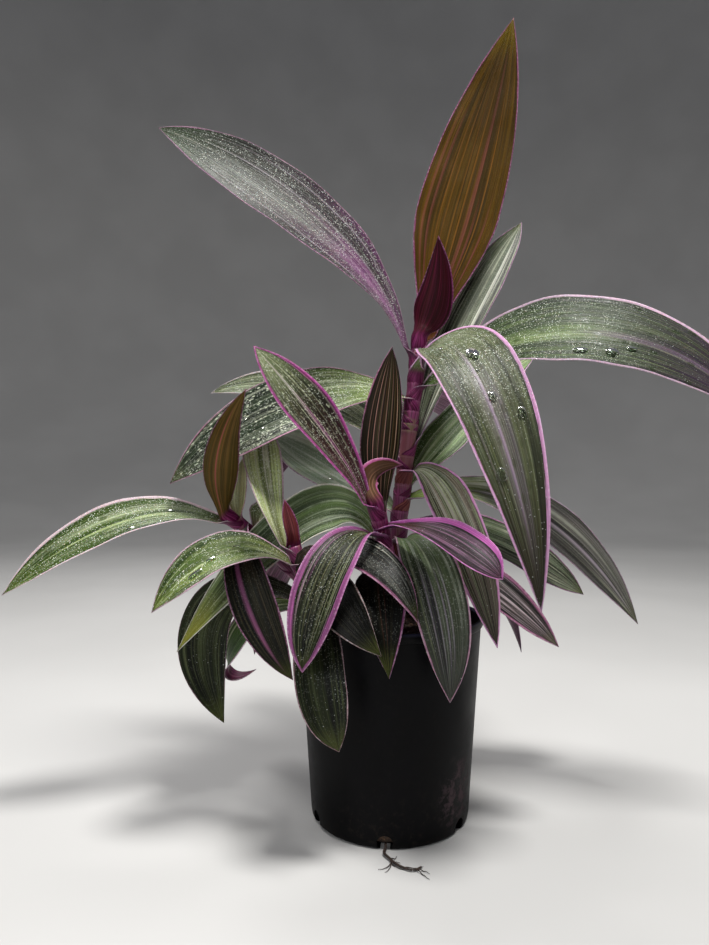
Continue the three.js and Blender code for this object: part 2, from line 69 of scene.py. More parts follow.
# Each stem is a cubic curve through four points, with its radius at the soil and at its end.
STEMS = {
    "tall": (((3, 8, 87), (1, 6, 145), (13, 9, 206), (17, 10, 257)), (5, 4)),
    "front": (((1, -8, 87), (2, -10, 123), (-3, -16, 144), (-9, -26, 168)), (4.5, 3.8)),
    "left": (((-26, -13, 87), (-37, -14, 106), (-45, -13, 124), (-51, -12, 143)), (4, 3.5)),
    "far": (((-26, 15, 87), (-34, 14, 112), (-66, 8, 141), (-89, 2, 159)), (4, 3.5)),
}


def leaf(name, along, reach, width, face, neck=9, peak=0.42, fall=2.2, cup=(60, 28, 14)):
    """One row of the leaf table, with the same fields as the solids have."""
    return dict(name=name, stem=name.split("_")[0], along=along, reach=reach, width=width, face=face,
                neck=neck, peak=peak, fall=fall, cup=cup)


# Each leaf leaves its stem at a share of the stem's length. Then come its curve's two pulls and
# its tip, its greatest width, and where its upper side looks at the root and at the tip. `neck` is
# its width at the root, `peak` where it is widest, `fall` how late it narrows after that, and `cup`
# half of the angle that its section bends through at the root, at a quarter and at the tip.
LEAVES = (
    # The tall stem.
    leaf("tall_upright", 0.97, ((32, 24, 308), (58, 30, 388), (72, 20, 442)),
         48, ((0, -1, 0.1), (-0.2, -1, 0.1)), neck=10, peak=0.42, fall=2, cup=(40, 18, 12)),
    leaf("tall_spear", 1, ((28, 4, 274), (28, 0, 292), (26, -4, 309)),
         22, ((0, 1, 0), (0, 1, 0)), neck=15, peak=0.3, fall=1.5, cup=(52, 35, 15)),
    leaf("tall_upper_left", 0.921, ((2, 10, 297), (-76, 0, 350), (-123, -8, 365)),
         44, ((1, -0.6, 0.4), (0.1, -1, 0.15)), neck=6, peak=0.45, fall=2.4, cup=(24, 24, 14)),
    leaf("tall_hanging_right", 0.872, ((31, -27, 279), (52, -82, 202), (66, -60, 118)),
         43, ((0, -0.8, 0.8), (0, -1, 0.1)), neck=10, peak=0.34, cup=(50, 18, 14)),
    leaf("tall_arching_right", 0.814, ((62, -5, 270), (139, -28, 270), (184, -35, 204)),
         46, ((0, -0.8, 0.7), (-0.1, -1, 0.35)), peak=0.45, cup=(50, 18, -8)),
    leaf("tall_left", 0.777, ((-16, 0, 235), (-73, -2, 220), (-117, -8, 176)),
         41, ((0, -0.7, 0.8), (-0.2, -1, 0.4)), peak=0.5, fall=2.6),
    leaf("tall_back_left", 0.735, ((-10, 60, 248), (-50, 100, 232), (-75, 115, 175)),
         34, ((0, 0.4, 1), (-0.5, 1, 0.6))),
    leaf("tall_back_right", 0.712, ((4, 62, 240), (50, 105, 240), (80, 128, 198)),
         34, ((0, 0.4, 1), (0.5, 1, 0.6))),
    leaf("tall_folded", 0.63, ((26, 18, 234), (59, 30, 294), (80, 34, 330)),
         33, ((-0.7, -0.8, 0.2), (-0.7, -0.8, 0.3)), neck=7, peak=0.55, fall=2.8, cup=(60, 45, 35)),
    leaf("tall_far_left", 0.585, ((-13, 35, 225), (-68, 52, 246), (-108, 52, 231)),
         30, ((0, -0.8, 1), (0, -1, 0.6))),
    leaf("tall_clasping", 0.54, ((24, -12, 194), (41, -34, 144), (51, -36, 96)),
         24, ((0, -0.6, 1), (-0.1, -1, 0.1)), fall=2.8),
    leaf("tall_back_ascending", 0.5, ((22, 28, 188), (60, 45, 231), (92, 46, 254)),
         30, ((-0.4, -0.8, 0.5), (-0.4, -0.8, 0.6))),
    leaf("tall_right", 0.455, ((44, 16, 183), (101, 18, 166), (138, 8, 98)),
         31, ((0, -0.6, 1), (0.1, -1, 0.6)), peak=0.55, fall=2.6),
    leaf("tall_behind", 0.41, ((-13, 30, 173), (-46, 42, 194), (-75, 44, 208)),
         38, ((0.2, -0.8, 1), (0.2, -1, 0.4)), neck=11, peak=0.5),
    leaf("tall_lower_right", 0.36, ((37, 28, 158), (90, 40, 133), (118, 38, 109)),
         34, ((0, -0.6, 1), (0, -0.8, 0.8)), peak=0.5, fall=2.6),
    leaf("tall_centre", 0.315, ((11, -25, 161), (26, -58, 124), (25, -56, 76)),
         28, ((0, -0.5, 1), (0.1, -1, 0.1)), peak=0.5, fall=3.2),
    leaf("tall_striped", 0.27, ((30, -12, 144), (62, -24, 118), (84, -26, 94)),
         23, ((0, -0.6, 1), (0.2, -1, 0.5)), fall=2.8),
    leaf("tall_low_back", 0.225, ((5, 50, 152), (-5, 88, 132), (-8, 100, 82)),
         28, ((0, 0.5, 1), (0, 1, 0.2))),
    leaf("tall_low_right", 0.18, ((40, 35, 142), (75, 52, 112), (85, 55, 70)),
         25, ((0, 0.2, 1), (0.8, 0.2, 0.6))),
    # The front stem.
    leaf("front_young", 1, ((-17, -31, 180), (-8, -25, 187), (6, -17, 186)),
         13, ((-0.2, 0.8, 0.3), (-0.2, 0.8, 0.5)), neck=7, peak=0.4),
    leaf("front_upright", 0.87, ((-9, -16, 191), (-2, -9, 223), (1, -7, 249)),
         22, ((0, 1, 0), (0, 1, 0)), neck=10, cup=(60, 30, 15)),
    leaf("front_ascending", 0.94, ((-19, -38, 187), (-46, -52, 217), (-66, -52, 241)),
         28, ((0.5, -0.7, 0.5), (0.4, -0.9, 0.4)), neck=8, peak=0.6, cup=(55, 35, 25)),
    leaf("front_folded", 0.8, ((13, -50, 162), (34, -74, 146), (45, -76, 136)),
         24, ((0.1, -0.6, 1), (0.2, -0.8, 0.7)), peak=0.55, fall=3, cup=(60, 45, 35)),
    leaf("front_hanging", 0.73, ((-23, -50, 167), (-41, -72, 122), (-42, -70, 94)),
         26, ((-0.3, -0.6, 0.8), (-0.2, -1, 0.1)), peak=0.5, fall=2.8, cup=(60, 35, 25)),
    leaf("front_back_left", 0.65, ((-22, 17, 186), (-64, -6, 157), (-112, -13, 88)),
         27, ((0, -1, 0.1), (-0.3, -1, 0.3)), neck=8, fall=2.6),
    leaf("front_low", 0.5, ((-8, -34, 134), (-6, -56, 124), (-3, -56, 87)),
         26, ((-0.2, -0.6, 0.8), (-0.1, -1, 0.1))),
    # The left stem.
    leaf("left_spear", 1, ((-50, -15, 152), (-54, -17, 160), (-55, -18, 168)),
         8, ((0, -1, 0), (0, -1, 0)), neck=6, peak=0.4, cup=(60, 40, 30)),
    leaf("left_reaching", 0.795, ((-65, -32, 152), (-92, -46, 150), (-116, -44, 115)),
         26, ((-0.2, -0.6, 1), (-0.3, -0.9, 0.6)), neck=8, peak=0.55, fall=2.6),
    leaf("left_upright", 0.935, ((-63, -12, 157), (-74, 4, 192), (-71, 16, 212)),
         23, ((1, -0.5, 0.4), (0.1, -1, 0.1)), neck=8, peak=0.65, fall=2.6, cup=(60, 30, 15)),
    leaf("left_short", 0.74, ((-47, -20, 143), (-39, -26, 142), (-38, -22, 130)),
         14, ((0, -0.5, 1), (0.3, -1, 0.4)), neck=7),
    leaf("left_crossing", 0.65, ((-32, -22, 153), (-1, -46, 145), (10, -58, 113)),
         24, ((0.2, -0.5, 1), (0.2, -0.9, 0.5)), neck=8),
    leaf("left_under", 0.574, ((-40, -32, 138), (-27, -60, 119), (-7, -66, 100)),
         26, ((0, -0.5, 1), (0.1, -1, 0.2)), neck=8),
    leaf("left_drooping", 0.473, ((-72, -1, 134), (-127, 11, 112), (-91, 6, 44)),
         28, ((0, -0.8, 0.8), (0.1, -1, 0.1)), neck=7, peak=0.6, fall=3.6),
    leaf("left_curled", 0.398, ((-76, 9, 127), (-112, 20, 50), (-75, 18, 70)),
         20, ((-0.4, -1, 1), (-0.4, 0.5, -1)), neck=7),
    leaf("left_over_pot", 0.322, ((-36, -38, 121), (-40, -68, 90), (-26, -60, 55)),
         24, ((0, -0.5, 1), (-0.1, -1, 0.1)), neck=8, peak=0.6, fall=3.6),
    # The far stem.
    leaf("far_inner", 0.79, ((-73, 14, 160), (-70, 16, 165), (-61, 14, 152)),
         16, ((0.2, -0.5, 1), (0.4, -1, 0.5)), neck=7),
    leaf("far_upright", 1, ((-92, -20, 178), (-85, -35, 203), (-72, -36, 223)),
         19.5, ((0, 1, 0), (0, 1, 0)), neck=10, peak=0.38, fall=1.7, cup=(60, 30, 20)),
    leaf("far_short", 0.905, ((-85, 10, 164), (-82, 14, 178), (-82, 14, 190)),
         16, ((-0.6, -0.8, 0), (-0.6, -0.8, 0)), neck=7, cup=(60, 40, 20)),
    leaf("far_long", 0.95, ((-117, -3, 170), (-158, -18, 159), (-200, -20, 119)),
         28, ((0, -0.6, 1), (0, -0.8, 0.6)), peak=0.52, fall=2.4),
    leaf("far_hanging", 0.857, ((-83, -26, 157), (-70, -40, 111), (-49, -38, 81)),
         23, ((-0.2, -0.6, 0.8), (-0.1, -1, 0.1)), neck=7, peak=0.6, cup=(60, 25, 15)),
    leaf("far_low_back", 0.58, ((-60, 45, 132), (-80, 70, 112), (-85, 80, 62)),
         26, ((0, 0.5, 1), (-0.3, 1, 0.3))),
)

# How a leaf looks, with colours as 0..255 on screen:
# slot: the name of a material slot that goes with the look
# base, deep, pale, line: the upper side's ground, its dark bands, its ribbons and its fine lines
# under, under_line: the underside and its veins
# edge, edge_mm: the margin's colour, and its widths on the sides -1 and 1
# root, tip: the colour at either end, with its reach (_mm) and its strength (_amount)
# streak, fine, pitch: strength of the ribbons and of the fine lines, and how closely they lie
# speck, low_speck, speck_last: strength of the dew's white points, which are painted glints, the share
#     of them where the leaf doesn't look up, and how far along they reach (0..1)
# dash, wet: strength of the dried dashes and of the wet patches
# shine: the specular level
# both: whether the stripes show on the underside too
# sheath: the sheath's two colours
# stripes: each one's middle and half width across (-1..1), its first and last place along (0..1),
#     its colour and its strength
# A leaf that climbs has its side 1 on the right when seen from above, and one that hangs on the left.
WHITE = (222, 222, 208)
ROSE = (156, 88, 92)
GOLD = (150, 104, 44)
LOW_SHEATH = ((108, 50, 56), (154, 92, 88))


def veins(colour, middles, half=0.02, first=0.04, last=0.96, strength=0.6):
    """Stripes that are alike apart from their middles."""
    return tuple((middle, half, first, last, colour, strength) for middle in middles)


GREY = dict(
    slot="leaf_silver", base=(94, 100, 74), deep=(36, 40, 28), pale=(192, 196, 174), line=(26, 28, 20),
    under=(104, 50, 86), under_line=(160, 110, 144), edge=(170, 122, 158), edge_mm=(0.9, 0.9),
    root=(120, 92, 112), root_mm=40, root_amount=0.4, tip=(116, 122, 66), tip_mm=12, tip_amount=0.5,
    streak=0.8, fine=0.7, pitch=1.0, speck=0.5, low_speck=0.3, speck_last=1.0, dash=0.0, wet=0.0,
    shine=0.22, both=False, sheath=((98, 26, 70), (150, 70, 120)), stripes=(),
)
SILVER = dict(
    GREY, base=(108, 136, 62), deep=(44, 64, 24), pale=(218, 228, 188), line=(32, 46, 20),
    root=(140, 152, 80), edge=(194, 164, 182), speck=0.8, fine=0.55,
)
DARK = dict(
    GREY, slot="leaf_dark", base=(52, 56, 32), deep=(20, 22, 14), pale=(126, 124, 94), line=(12, 13, 9),
    root=(84, 56, 60), streak=0.5, edge=(164, 116, 152), speck=0.15, shine=0.14,
)
BRONZE = dict(
    GREY, slot="leaf_bronze", base=(98, 74, 14), deep=(70, 54, 12), pale=(128, 94, 34), line=(62, 44, 14),
    under=(98, 66, 18), under_line=(140, 92, 50), edge=(144, 66, 110), edge_mm=(0.8, 0.8),
    root=(132, 72, 40), root_amount=0.5, tip=(138, 120, 22), tip_mm=30, tip_amount=0.8,
    speck=0.06, streak=0.6, fine=0.45, shine=0.1, both=True,
)
MAGENTA = dict(
    GREY, slot="leaf_magenta", base=(74, 16, 32), deep=(46, 9, 20), pale=(112, 30, 66), line=(34, 7, 17),
    under=(72, 17, 31), under_line=(106, 30, 58), edge=(142, 48, 110), edge_mm=(0.8, 0.8),
    root=(92, 20, 54), tip=(120, 30, 74), speck=0.05, shine=0.12, both=True,
)

# How each leaf differs from its look.
PAINT = {
    "tall_upright": dict(BRONZE, streak=0.4, stripes=(
        *veins(ROSE, (-0.8, -0.64), 0.035, 0.0, 0.75, 0.45), *veins(ROSE, (0.26,), 0.05, 0.0, 0.93, 0.65),
        *veins(GOLD, (-0.42, -0.28, -0.08, 0.08, 0.5), 0.02, 0.05, 0.85, 0.8),
        *veins(ROSE, (0.42, 0.7), 0.03, 0.0, 0.5),
        (0.1, 0.55, 0.6, 0.97, (62, 46, 16), 0.65), (-0.15, 0.2, 0.2, 0.7, (84, 66, 16), 0.5))),
    "tall_spear": dict(MAGENTA, edge_mm=(1.2, 0.6), stripes=(
        *veins((112, 30, 76), (-0.7, 0.15, 0.3), 0.05), (0.3, 0.3, 0.0, 0.7, (84, 34, 34), 0.5))),
    "tall_upper_left": dict(
        GREY, base=(66, 70, 55), deep=(30, 32, 24), root=(136, 78, 130), root_mm=150, root_amount=1.0,
        edge=(148, 100, 132), edge_mm=(0.8, 0.7), speck=0.9, low_speck=0.9, fine=0.8, pale=(130, 134, 124),
        tip=(70, 94, 56), tip_mm=50, tip_amount=0.7, stripes=(
            (-0.1, 0.3, 0.35, 0.97, (150, 154, 144), 0.5), (0.0, 0.3, 0.0, 0.5, (174, 114, 166), 0.6),
            (0.55, 0.16, 0.15, 0.92, (42, 40, 36), 0.8), (-0.84, 0.12, 0.05, 0.8, (30, 30, 22), 0.9),
            *veins((178, 170, 176), (-0.66, 0.36, 0.74), 0.025, 0.1, 0.9, 0.8),
            # The white stripe at the tip is a painted highlight.
            (0.1, 0.12, 0.86, 1.0, WHITE, 0.9))),
    "tall_hanging_right": dict(
        GREY, base=(96, 102, 72), deep=(54, 58, 40), pale=(160, 166, 140), edge_mm=(1.7, 1.3),
        edge=(220, 168, 208), root=(116, 130, 80), root_amount=0.9, root_mm=100, speck=1.0,
        low_speck=0.1, speck_last=0.6, wet=0.5, streak=0.4, fine=0.5, tip=(50, 38, 26), tip_mm=62,
        tip_amount=0.95, stripes=(
            (0.02, 0.3, 0.45, 0.95, (142, 130, 140), 0.55), (0.08, 0.05, 0.35, 0.9, (190, 166, 192), 0.7),
            (-0.22, 0.03, 0.5, 0.95, (170, 160, 166), 0.5), (0.36, 0.06, 0.3, 0.92, (60, 60, 46), 0.6),
            (-0.42, 0.07, 0.4, 0.92, (62, 58, 42), 0.5), (0.62, 0.03, 0.4, 0.9, (160, 150, 156), 0.5))),
    "tall_arching_right": dict(
        SILVER, base=(60, 80, 36), deep=(34, 48, 20), pale=(148, 166, 114), edge_mm=(1.4, 0.9),
        edge=(206, 176, 196), speck=1.0, low_speck=0.6, speck_last=0.6, wet=0.6, streak=0.5,
        fine=0.5, root=(86, 108, 48), root_amount=0.7, tip=(80, 56, 86), tip_mm=115,
        tip_amount=0.95, stripes=(
            (0.1, 0.28, 0.05, 0.62, (150, 170, 108), 0.55), (0.1, 0.1, 0.5, 1.0, (176, 150, 174), 0.45),
            (-0.45, 0.2, 0.3, 0.95, (48, 58, 28), 0.6), (0.55, 0.14, 0.3, 0.8, (54, 70, 26), 0.6))),
    "tall_left": dict(
        SILVER, base=(44, 62, 34), deep=(18, 28, 15), pale=(224, 230, 206), line=(12, 18, 10),
        dash=1.0, wet=0.4, streak=0.3, edge=(180, 130, 154), edge_mm=(1.1, 0.9), root=(150, 170, 84),
        root_mm=90, root_amount=0.95),
    "tall_back_left": dict(GREY),
    "tall_back_right": dict(SILVER),
    "tall_folded": dict(GREY, base=(100, 110, 86), streak=0.9, stripes=(
        (0.3, 0.1, 0.05, 1.0, WHITE, 0.9), (0.62, 0.14, 0.1, 0.9, (46, 42, 40), 0.7),
        (-0.2, 0.1, 0.3, 0.9, (204, 212, 190), 0.6)), edge_mm=(0.7, 0.7), speck=0.3),
    "tall_far_left": dict(SILVER, base=(146, 154, 124), deep=(70, 80, 54), edge=(204, 192, 190), streak=0.5),
    # Its pale ground is partly painted light, for the light that the leaves above it keep off.
    "tall_clasping": dict(
        SILVER, base=(178, 166, 150), deep=(72, 70, 52), edge=(236, 170, 220), edge_mm=(1.1, 1.3), streak=1.0,
        fine=0.9, speck=0.3, low_speck=0.0, pitch=1.3, tip=(64, 52, 52), tip_mm=74, tip_amount=0.9,
        sheath=LOW_SHEATH, stripes=veins(WHITE, (-0.5, -0.2, 0.1, 0.45), 0.06, 0.0, 0.75, 0.9)),
    "tall_back_ascending": dict(
        SILVER, base=(160, 186, 130), deep=(92, 116, 66), edge_mm=(0.6, 1.2), speck=0.4, stripes=(
            (0.0, 0.1, 0.1, 0.95, (204, 218, 184), 0.7), (-0.5, 0.1, 0.1, 0.9, (186, 202, 162), 0.6))),
    # Its pale ground is partly painted light, for the light that the leaves above it keep off.
    "tall_right": dict(
        GREY, base=(158, 154, 150), deep=(84, 82, 78), edge_mm=(0.7, 0.9), edge=(192, 166, 184), streak=1.0,
        speck=0.2, fine=0.6, root=(180, 212, 96), root_mm=80, root_amount=0.95, sheath=LOW_SHEATH, stripes=(
            (0.0, 0.1, 0.3, 1.0, (228, 212, 228), 0.85), (-0.5, 0.1, 0.2, 0.9, (204, 206, 192), 0.7),
            (0.5, 0.2, 0.35, 0.95, (84, 76, 78), 0.7))),
    # Its very pale ground is partly painted light, for the light that the leaves above it keep off.
    "tall_behind": dict(
        SILVER, base=(214, 228, 202), deep=(160, 178, 150), pale=(240, 244, 234), streak=0.6, speck=0.5,
        low_speck=0.6, wet=0.6, fine=0.22, stripes=((0.2, 0.12, 0.1, 0.9, (84, 110, 76), 0.6),)),
    # Its pale ground is partly painted light, for the light that the leaves above it keep off.
    "tall_lower_right": dict(
        GREY, base=(122, 132, 110), deep=(52, 58, 42), streak=1.0, root=(124, 158, 88), root_mm=80,
        root_amount=0.9, speck=0.2),
    "tall_centre": dict(
        SILVER, base=(100, 112, 84), deep=(52, 58, 44), pale=(176, 182, 166), edge_mm=(1.1, 0.8),
        edge=(198, 150, 176), root=(148, 176, 116), root_mm=60, root_amount=0.95, wet=0.3, sheath=LOW_SHEATH,
        tip=(66, 62, 66), tip_mm=60, tip_amount=0.8, speck=0.3, low_speck=0.1, fine=0.6, pitch=1.3, stripes=(
            (-0.05, 0.05, 0.05, 0.6, (190, 200, 170), 0.8), (0.3, 0.1, 0.45, 0.9, (84, 74, 92), 0.6),
            *veins((192, 180, 196), (-0.3, -0.12, 0.14, 0.4), 0.035, 0.5, 0.95, 0.7),
            (0.66, 0.04, 0.1, 0.95, (166, 174, 138), 0.6))),
    "tall_striped": dict(
        GREY, base=(70, 62, 60), deep=(26, 22, 22), pale=(184, 170, 174), edge_mm=(2.0, 1.6),
        edge=(168, 114, 144), streak=1.0, fine=1.0, speck=0.1, pitch=1.3, sheath=LOW_SHEATH,
        stripes=veins(WHITE, (-0.5, 0.5), 0.035, 0.0, 0.7, 0.5)),
    "tall_low_back": dict(GREY, base=(74, 80, 62)),
    "tall_low_right": dict(GREY, base=(40, 38, 36), deep=(18, 16, 16), pale=(120, 104, 112)),
    "front_young": dict(
        BRONZE, base=(112, 84, 64), deep=(90, 58, 40), pale=(150, 112, 72), under=(108, 84, 66),
        under_line=(150, 116, 98), edge=(206, 118, 168), edge_mm=(2.2, 2.0), root=(126, 22, 90), root_mm=18,
        root_amount=1.0, tip=(152, 96, 92), tip_mm=12, streak=0.3, fine=0.6),
    "front_upright": dict(
        DARK, under=(42, 32, 14), under_line=(58, 42, 20), edge=(150, 88, 120), edge_mm=(0.6, 0.9), both=True,
        root_mm=0.1, stripes=(
            *veins((206, 160, 148), (-0.72, -0.42, -0.16, 0.1, 0.34, 0.6), 0.018, 0.0, 0.97, 0.8),
            *veins((92, 62, 34), (-0.55, -0.02, 0.46), 0.02, 0.0, 0.9, 0.6))),
    "front_ascending": dict(
        GREY, base=(58, 44, 30), deep=(28, 24, 16), pale=(190, 196, 168), line=(20, 17, 12),
        edge=(190, 90, 164), edge_mm=(2.1, 1.8), root=(126, 54, 84), root_mm=70, root_amount=0.75, speck=0.8,
        low_speck=0.7, dash=0.9, streak=0.3, fine=0.9, tip=(160, 174, 130), tip_mm=46, tip_amount=0.75,
        stripes=((0.02, 0.07, 0.0, 0.75, (198, 124, 178), 1.0), (0.02, 0.06, 0.6, 1.0, (226, 214, 214), 0.9),
                 (0.3, 0.12, 0.1, 0.7, (44, 44, 28), 0.5))),
    "front_folded": dict(
        GREY, base=(70, 46, 56), deep=(34, 22, 26), pale=(160, 124, 150), line=(24, 14, 20),
        edge_mm=(3.2, 0.9), edge=(208, 118, 192), fine=1.0, streak=0.7, pitch=1.5,
        root=(124, 100, 56), root_mm=34, root_amount=0.8, tip=(104, 62, 88), speck=0.1, under=(120, 60, 100)),
    "front_hanging": dict(
        DARK, edge_mm=(3.2, 2.8), edge=(178, 110, 162), base=(50, 56, 30), deep=(20, 24, 13),
        pale=(168, 172, 140), speck=0.3, dash=0.25, streak=0.4, fine=0.9, root=(110, 108, 66), root_mm=30,
        root_amount=0.8, stripes=(
            (0.66, 0.04, 0.0, 0.85, (206, 160, 196), 0.8), (0.54, 0.03, 0.1, 0.7, (160, 110, 146), 0.7),
            (0.0, 0.2, 0.0, 0.35, (132, 138, 98), 0.5),
            *veins((140, 138, 96), (-0.3, 0.1, 0.25), 0.02, 0.3, 0.9))),
    "front_back_left": dict(
        SILVER, base=(124, 142, 98), deep=(70, 86, 54), pale=(194, 208, 174), edge=(212, 210, 196),
        edge_mm=(0.9, 0.7), speck=0.4, wet=0.5, streak=0.7, tip=(160, 156, 44), tip_mm=30, tip_amount=0.8,
        fine=0.4, stripes=(
            (-0.5, 0.1, 0.0, 0.8, (204, 212, 190), 0.6), (0.1, 0.12, 0.1, 0.7, (156, 188, 110), 0.5))),
    # Its very dark ground is partly painted shade, for the shade it sits in low in the plant.
    "front_low": dict(
        DARK, base=(20, 22, 12), deep=(9, 10, 6), pale=(52, 48, 34), fine=0.9, shine=0.08,
        edge=(128, 72, 112), edge_mm=(1.3, 0.4), stripes=veins((96, 64, 58), (-0.1, 0.12), 0.03)),
    "left_spear": dict(MAGENTA, base=(166, 92, 90), deep=(126, 58, 64), pale=(186, 116, 118)),
    "left_reaching": dict(
        SILVER, base=(138, 154, 92), deep=(66, 84, 42), edge=(214, 176, 194), edge_mm=(0.8, 0.9), speck=1.0,
        wet=1.0, fine=0.35, root_amount=0.6, root=(150, 146, 92), tip=(142, 156, 60),
        stripes=((-0.35, 0.14, 0.3, 0.8, (74, 106, 38), 0.5), (0.3, 0.12, 0.55, 0.9, (78, 112, 44), 0.5))),
    # Its pale ground is partly painted light, for the light that the leaf above it keeps off.
    "left_upright": dict(
        SILVER, base=(200, 212, 154), deep=(120, 132, 78), pale=(236, 240, 212), root=(88, 74, 40),
        root_amount=0.8, edge=(192, 162, 174), edge_mm=(0.5, 1.0), fine=0.4,
        stripes=veins(WHITE, (-0.3, 0.1, 0.35), 0.05, 0.3, 1.0, 0.6)),
    "left_short": dict(DARK, base=(72, 72, 40), pale=(124, 118, 70), edge=(108, 78, 72), edge_mm=(0.5, 0.5),
                       sheath=((62, 56, 32), (100, 90, 56))),
    "left_crossing": dict(
        DARK, base=(42, 42, 34), deep=(20, 20, 16), pale=(140, 142, 134), edge=(162, 106, 138),
        edge_mm=(0.6, 2.1), speck=0.3, streak=0.4, stripes=(
            *veins(WHITE, (-0.72,), 0.03, 0.0, 0.9, 0.7),
            *veins((110, 108, 92), (-0.3, 0.1, 0.4), 0.02, 0.2, 0.95))),
    # Its very dark ground is partly painted shade, for the shade it sits in low in the plant.
    "left_under": dict(
        DARK, base=(14, 16, 10), deep=(6, 7, 5), pale=(46, 44, 32), edge=(140, 120, 120),
        edge_mm=(0.5, 0.4), fine=1.0, speck=0.05, shine=0.07),
    "left_drooping": dict(
        DARK, base=(52, 60, 32), deep=(24, 29, 15), pale=(116, 124, 92), edge=(120, 84, 94),
        edge_mm=(0.5, 0.5), speck=0.3, streak=0.7, sheath=LOW_SHEATH,
        stripes=((0.0, 0.2, 0.1, 0.9, (92, 102, 66), 0.5),)),
    "left_curled": dict(
        SILVER, base=(84, 116, 50), deep=(52, 80, 30), under=(150, 72, 118), under_line=(176, 116, 148),
        speck=0.2, tip=(110, 120, 70)),
    # Its dark ground is partly painted shade, for the shade it sits in low in the plant.
    "left_over_pot": dict(
        DARK, base=(42, 48, 26), deep=(18, 22, 12), pale=(104, 112, 78), edge=(168, 134, 142),
        edge_mm=(0.5, 0.8), speck=0.25, streak=0.6),
    "far_inner": dict(SILVER, base=(176, 186, 140), deep=(116, 130, 88), root=(132, 44, 84), root_mm=9,
                      root_amount=0.8),
    "far_upright": dict(
        BRONZE, base=(108, 82, 20), under=(90, 76, 36), under_line=(120, 96, 54), tip_amount=0.4,
        edge=(126, 64, 92), edge_mm=(0.8, 0.6), root=(150, 80, 66), root_mm=16, root_amount=0.9, stripes=(
            *veins((176, 102, 100), (0.2,), 0.045, 0.0, 0.9, 0.9),
            *veins((142, 102, 52), (0.55, 0.0, -0.35), 0.03, 0.0, 0.9, 0.6),
            (-0.6, 0.3, 0.0, 0.8, (72, 62, 18), 0.5))),
    "far_short": dict(SILVER, base=(200, 194, 154), deep=(150, 146, 108), edge=(196, 150, 164)),
    "far_long": dict(
        SILVER, base=(88, 108, 50), pale=(198, 210, 168), edge=(226, 204, 210), edge_mm=(0.8, 1.6),
        speck=1.0, low_speck=0.6, wet=0.7, root=(130, 40, 84), root_mm=14, root_amount=0.9,
        tip=(118, 138, 44), tip_mm=26, stripes=(
            (0.35, 0.2, 0.1, 0.85, (206, 216, 176), 0.5), (-0.45, 0.12, 0.3, 0.9, (54, 72, 28), 0.8),
            (-0.1, 0.05, 0.3, 0.95, (198, 212, 150), 0.7), (0.02, 0.08, 0.55, 0.95, (66, 88, 34), 0.7))),
    # Its dark ground is partly painted shade, for the shade it sits in low in the plant.
    "far_hanging": dict(
        DARK, base=(34, 34, 18), deep=(16, 16, 10), pale=(92, 88, 66), edge=(138, 82, 116),
        edge_mm=(0.8, 0.7), root=(70, 46, 44), stripes=(
            (0.3, 0.12, 0.0, 0.97, (160, 100, 140), 1.0), (-0.4, 0.04, 0.1, 0.9, (100, 88, 70), 0.6))),
    "far_low_back": dict(SILVER, base=(150, 170, 100), deep=(96, 120, 60)),
}

# Arrays of points.


def smooth(x):
    """x held to 0..1 and eased at both ends."""
    held = np.clip(x, 0.0, 1.0)
    return held * held * (3.0 - 2.0 * held)


def mixed(a, b, share):
    return a + (b - a) * share


def unit(v):
    return v / np.maximum(np.linalg.norm(v, axis=-1, keepdims=True), 1e-12)


def square_to(v, axis):
    """The part of v that is square to axis, as a unit vector."""
    return unit(v - (v * axis).sum(-1, keepdims=True) * axis)


def cubic(points, t):
    """A cubic curve's places and slopes at the shares t."""
    a, b, c, d = (np.asarray(p, float) for p in points)
    t = np.asarray(t, float)[..., None]
    u = 1.0 - t
    place = u**3 * a + 3 * u * u * t * b + 3 * u * t * t * c + t**3 * d
    return place, 3 * (u * u * (b - a) + 2 * u * t * (c - b) + t * t * (d - c))


def cubic_length(points, steps):
    place, _ = cubic(points, np.linspace(0, 1, steps))
    return np.linalg.norm(np.diff(place, axis=0), axis=1).sum()


def stem_at(stem, along):
    """A stem's middle, direction and radius at a share of its length."""
    path, radii = STEMS[stem]
    middle, slope = cubic(path, along)
    return middle, unit(slope), mixed(*radii, along)


def circle(sides):
    """The cosines and sines of points that are evenly spaced round a circle."""
    turn = np.arange(sides) * FULL_TURN / sides
    return np.cos(turn), np.sin(turn)


# Meshes.


def mesh_object(name, points, faces, fields=None, uv=None):
    """An object from points in millimetres, with vector fields on its points."""
    mesh = bpy.data.meshes.new(name)
    mesh.from_pydata((np.asarray(points, float) * MM).tolist(), [], [list(f) for f in faces])
    for key, values in (fields or {}).items():
        attribute = mesh.attributes.new(key, "FLOAT_VECTOR", "POINT")
        attribute.data.foreach_set("vector", np.asarray(values, np.float32).ravel())
    if uv is not None:
        corner = np.empty(len(mesh.loops), np.int32)
        mesh.loops.foreach_get("vertex_index", corner)
        layer = mesh.uv_layers.new(name="UVMap")
        layer.data.foreach_set("uv", np.asarray(uv, np.float32)[corner].ravel())
    mesh.shade_smooth()
    obj = bpy.data.objects.new(name, mesh)
    bpy.context.scene.collection.objects.link(obj)
    return obj


class Heap:
    """Many small bodies joined in one mesh."""

    def __init__(self):
        self.points, self.faces, self.count = [], [], 0

    def put(self, points, faces):
        self.points.append(points)
        self.faces += [[v + self.count for v in face] for face in faces]
        self.count += len(points)

    def object(self, name):
        return mesh_object(name, np.concatenate(self.points), self.faces)


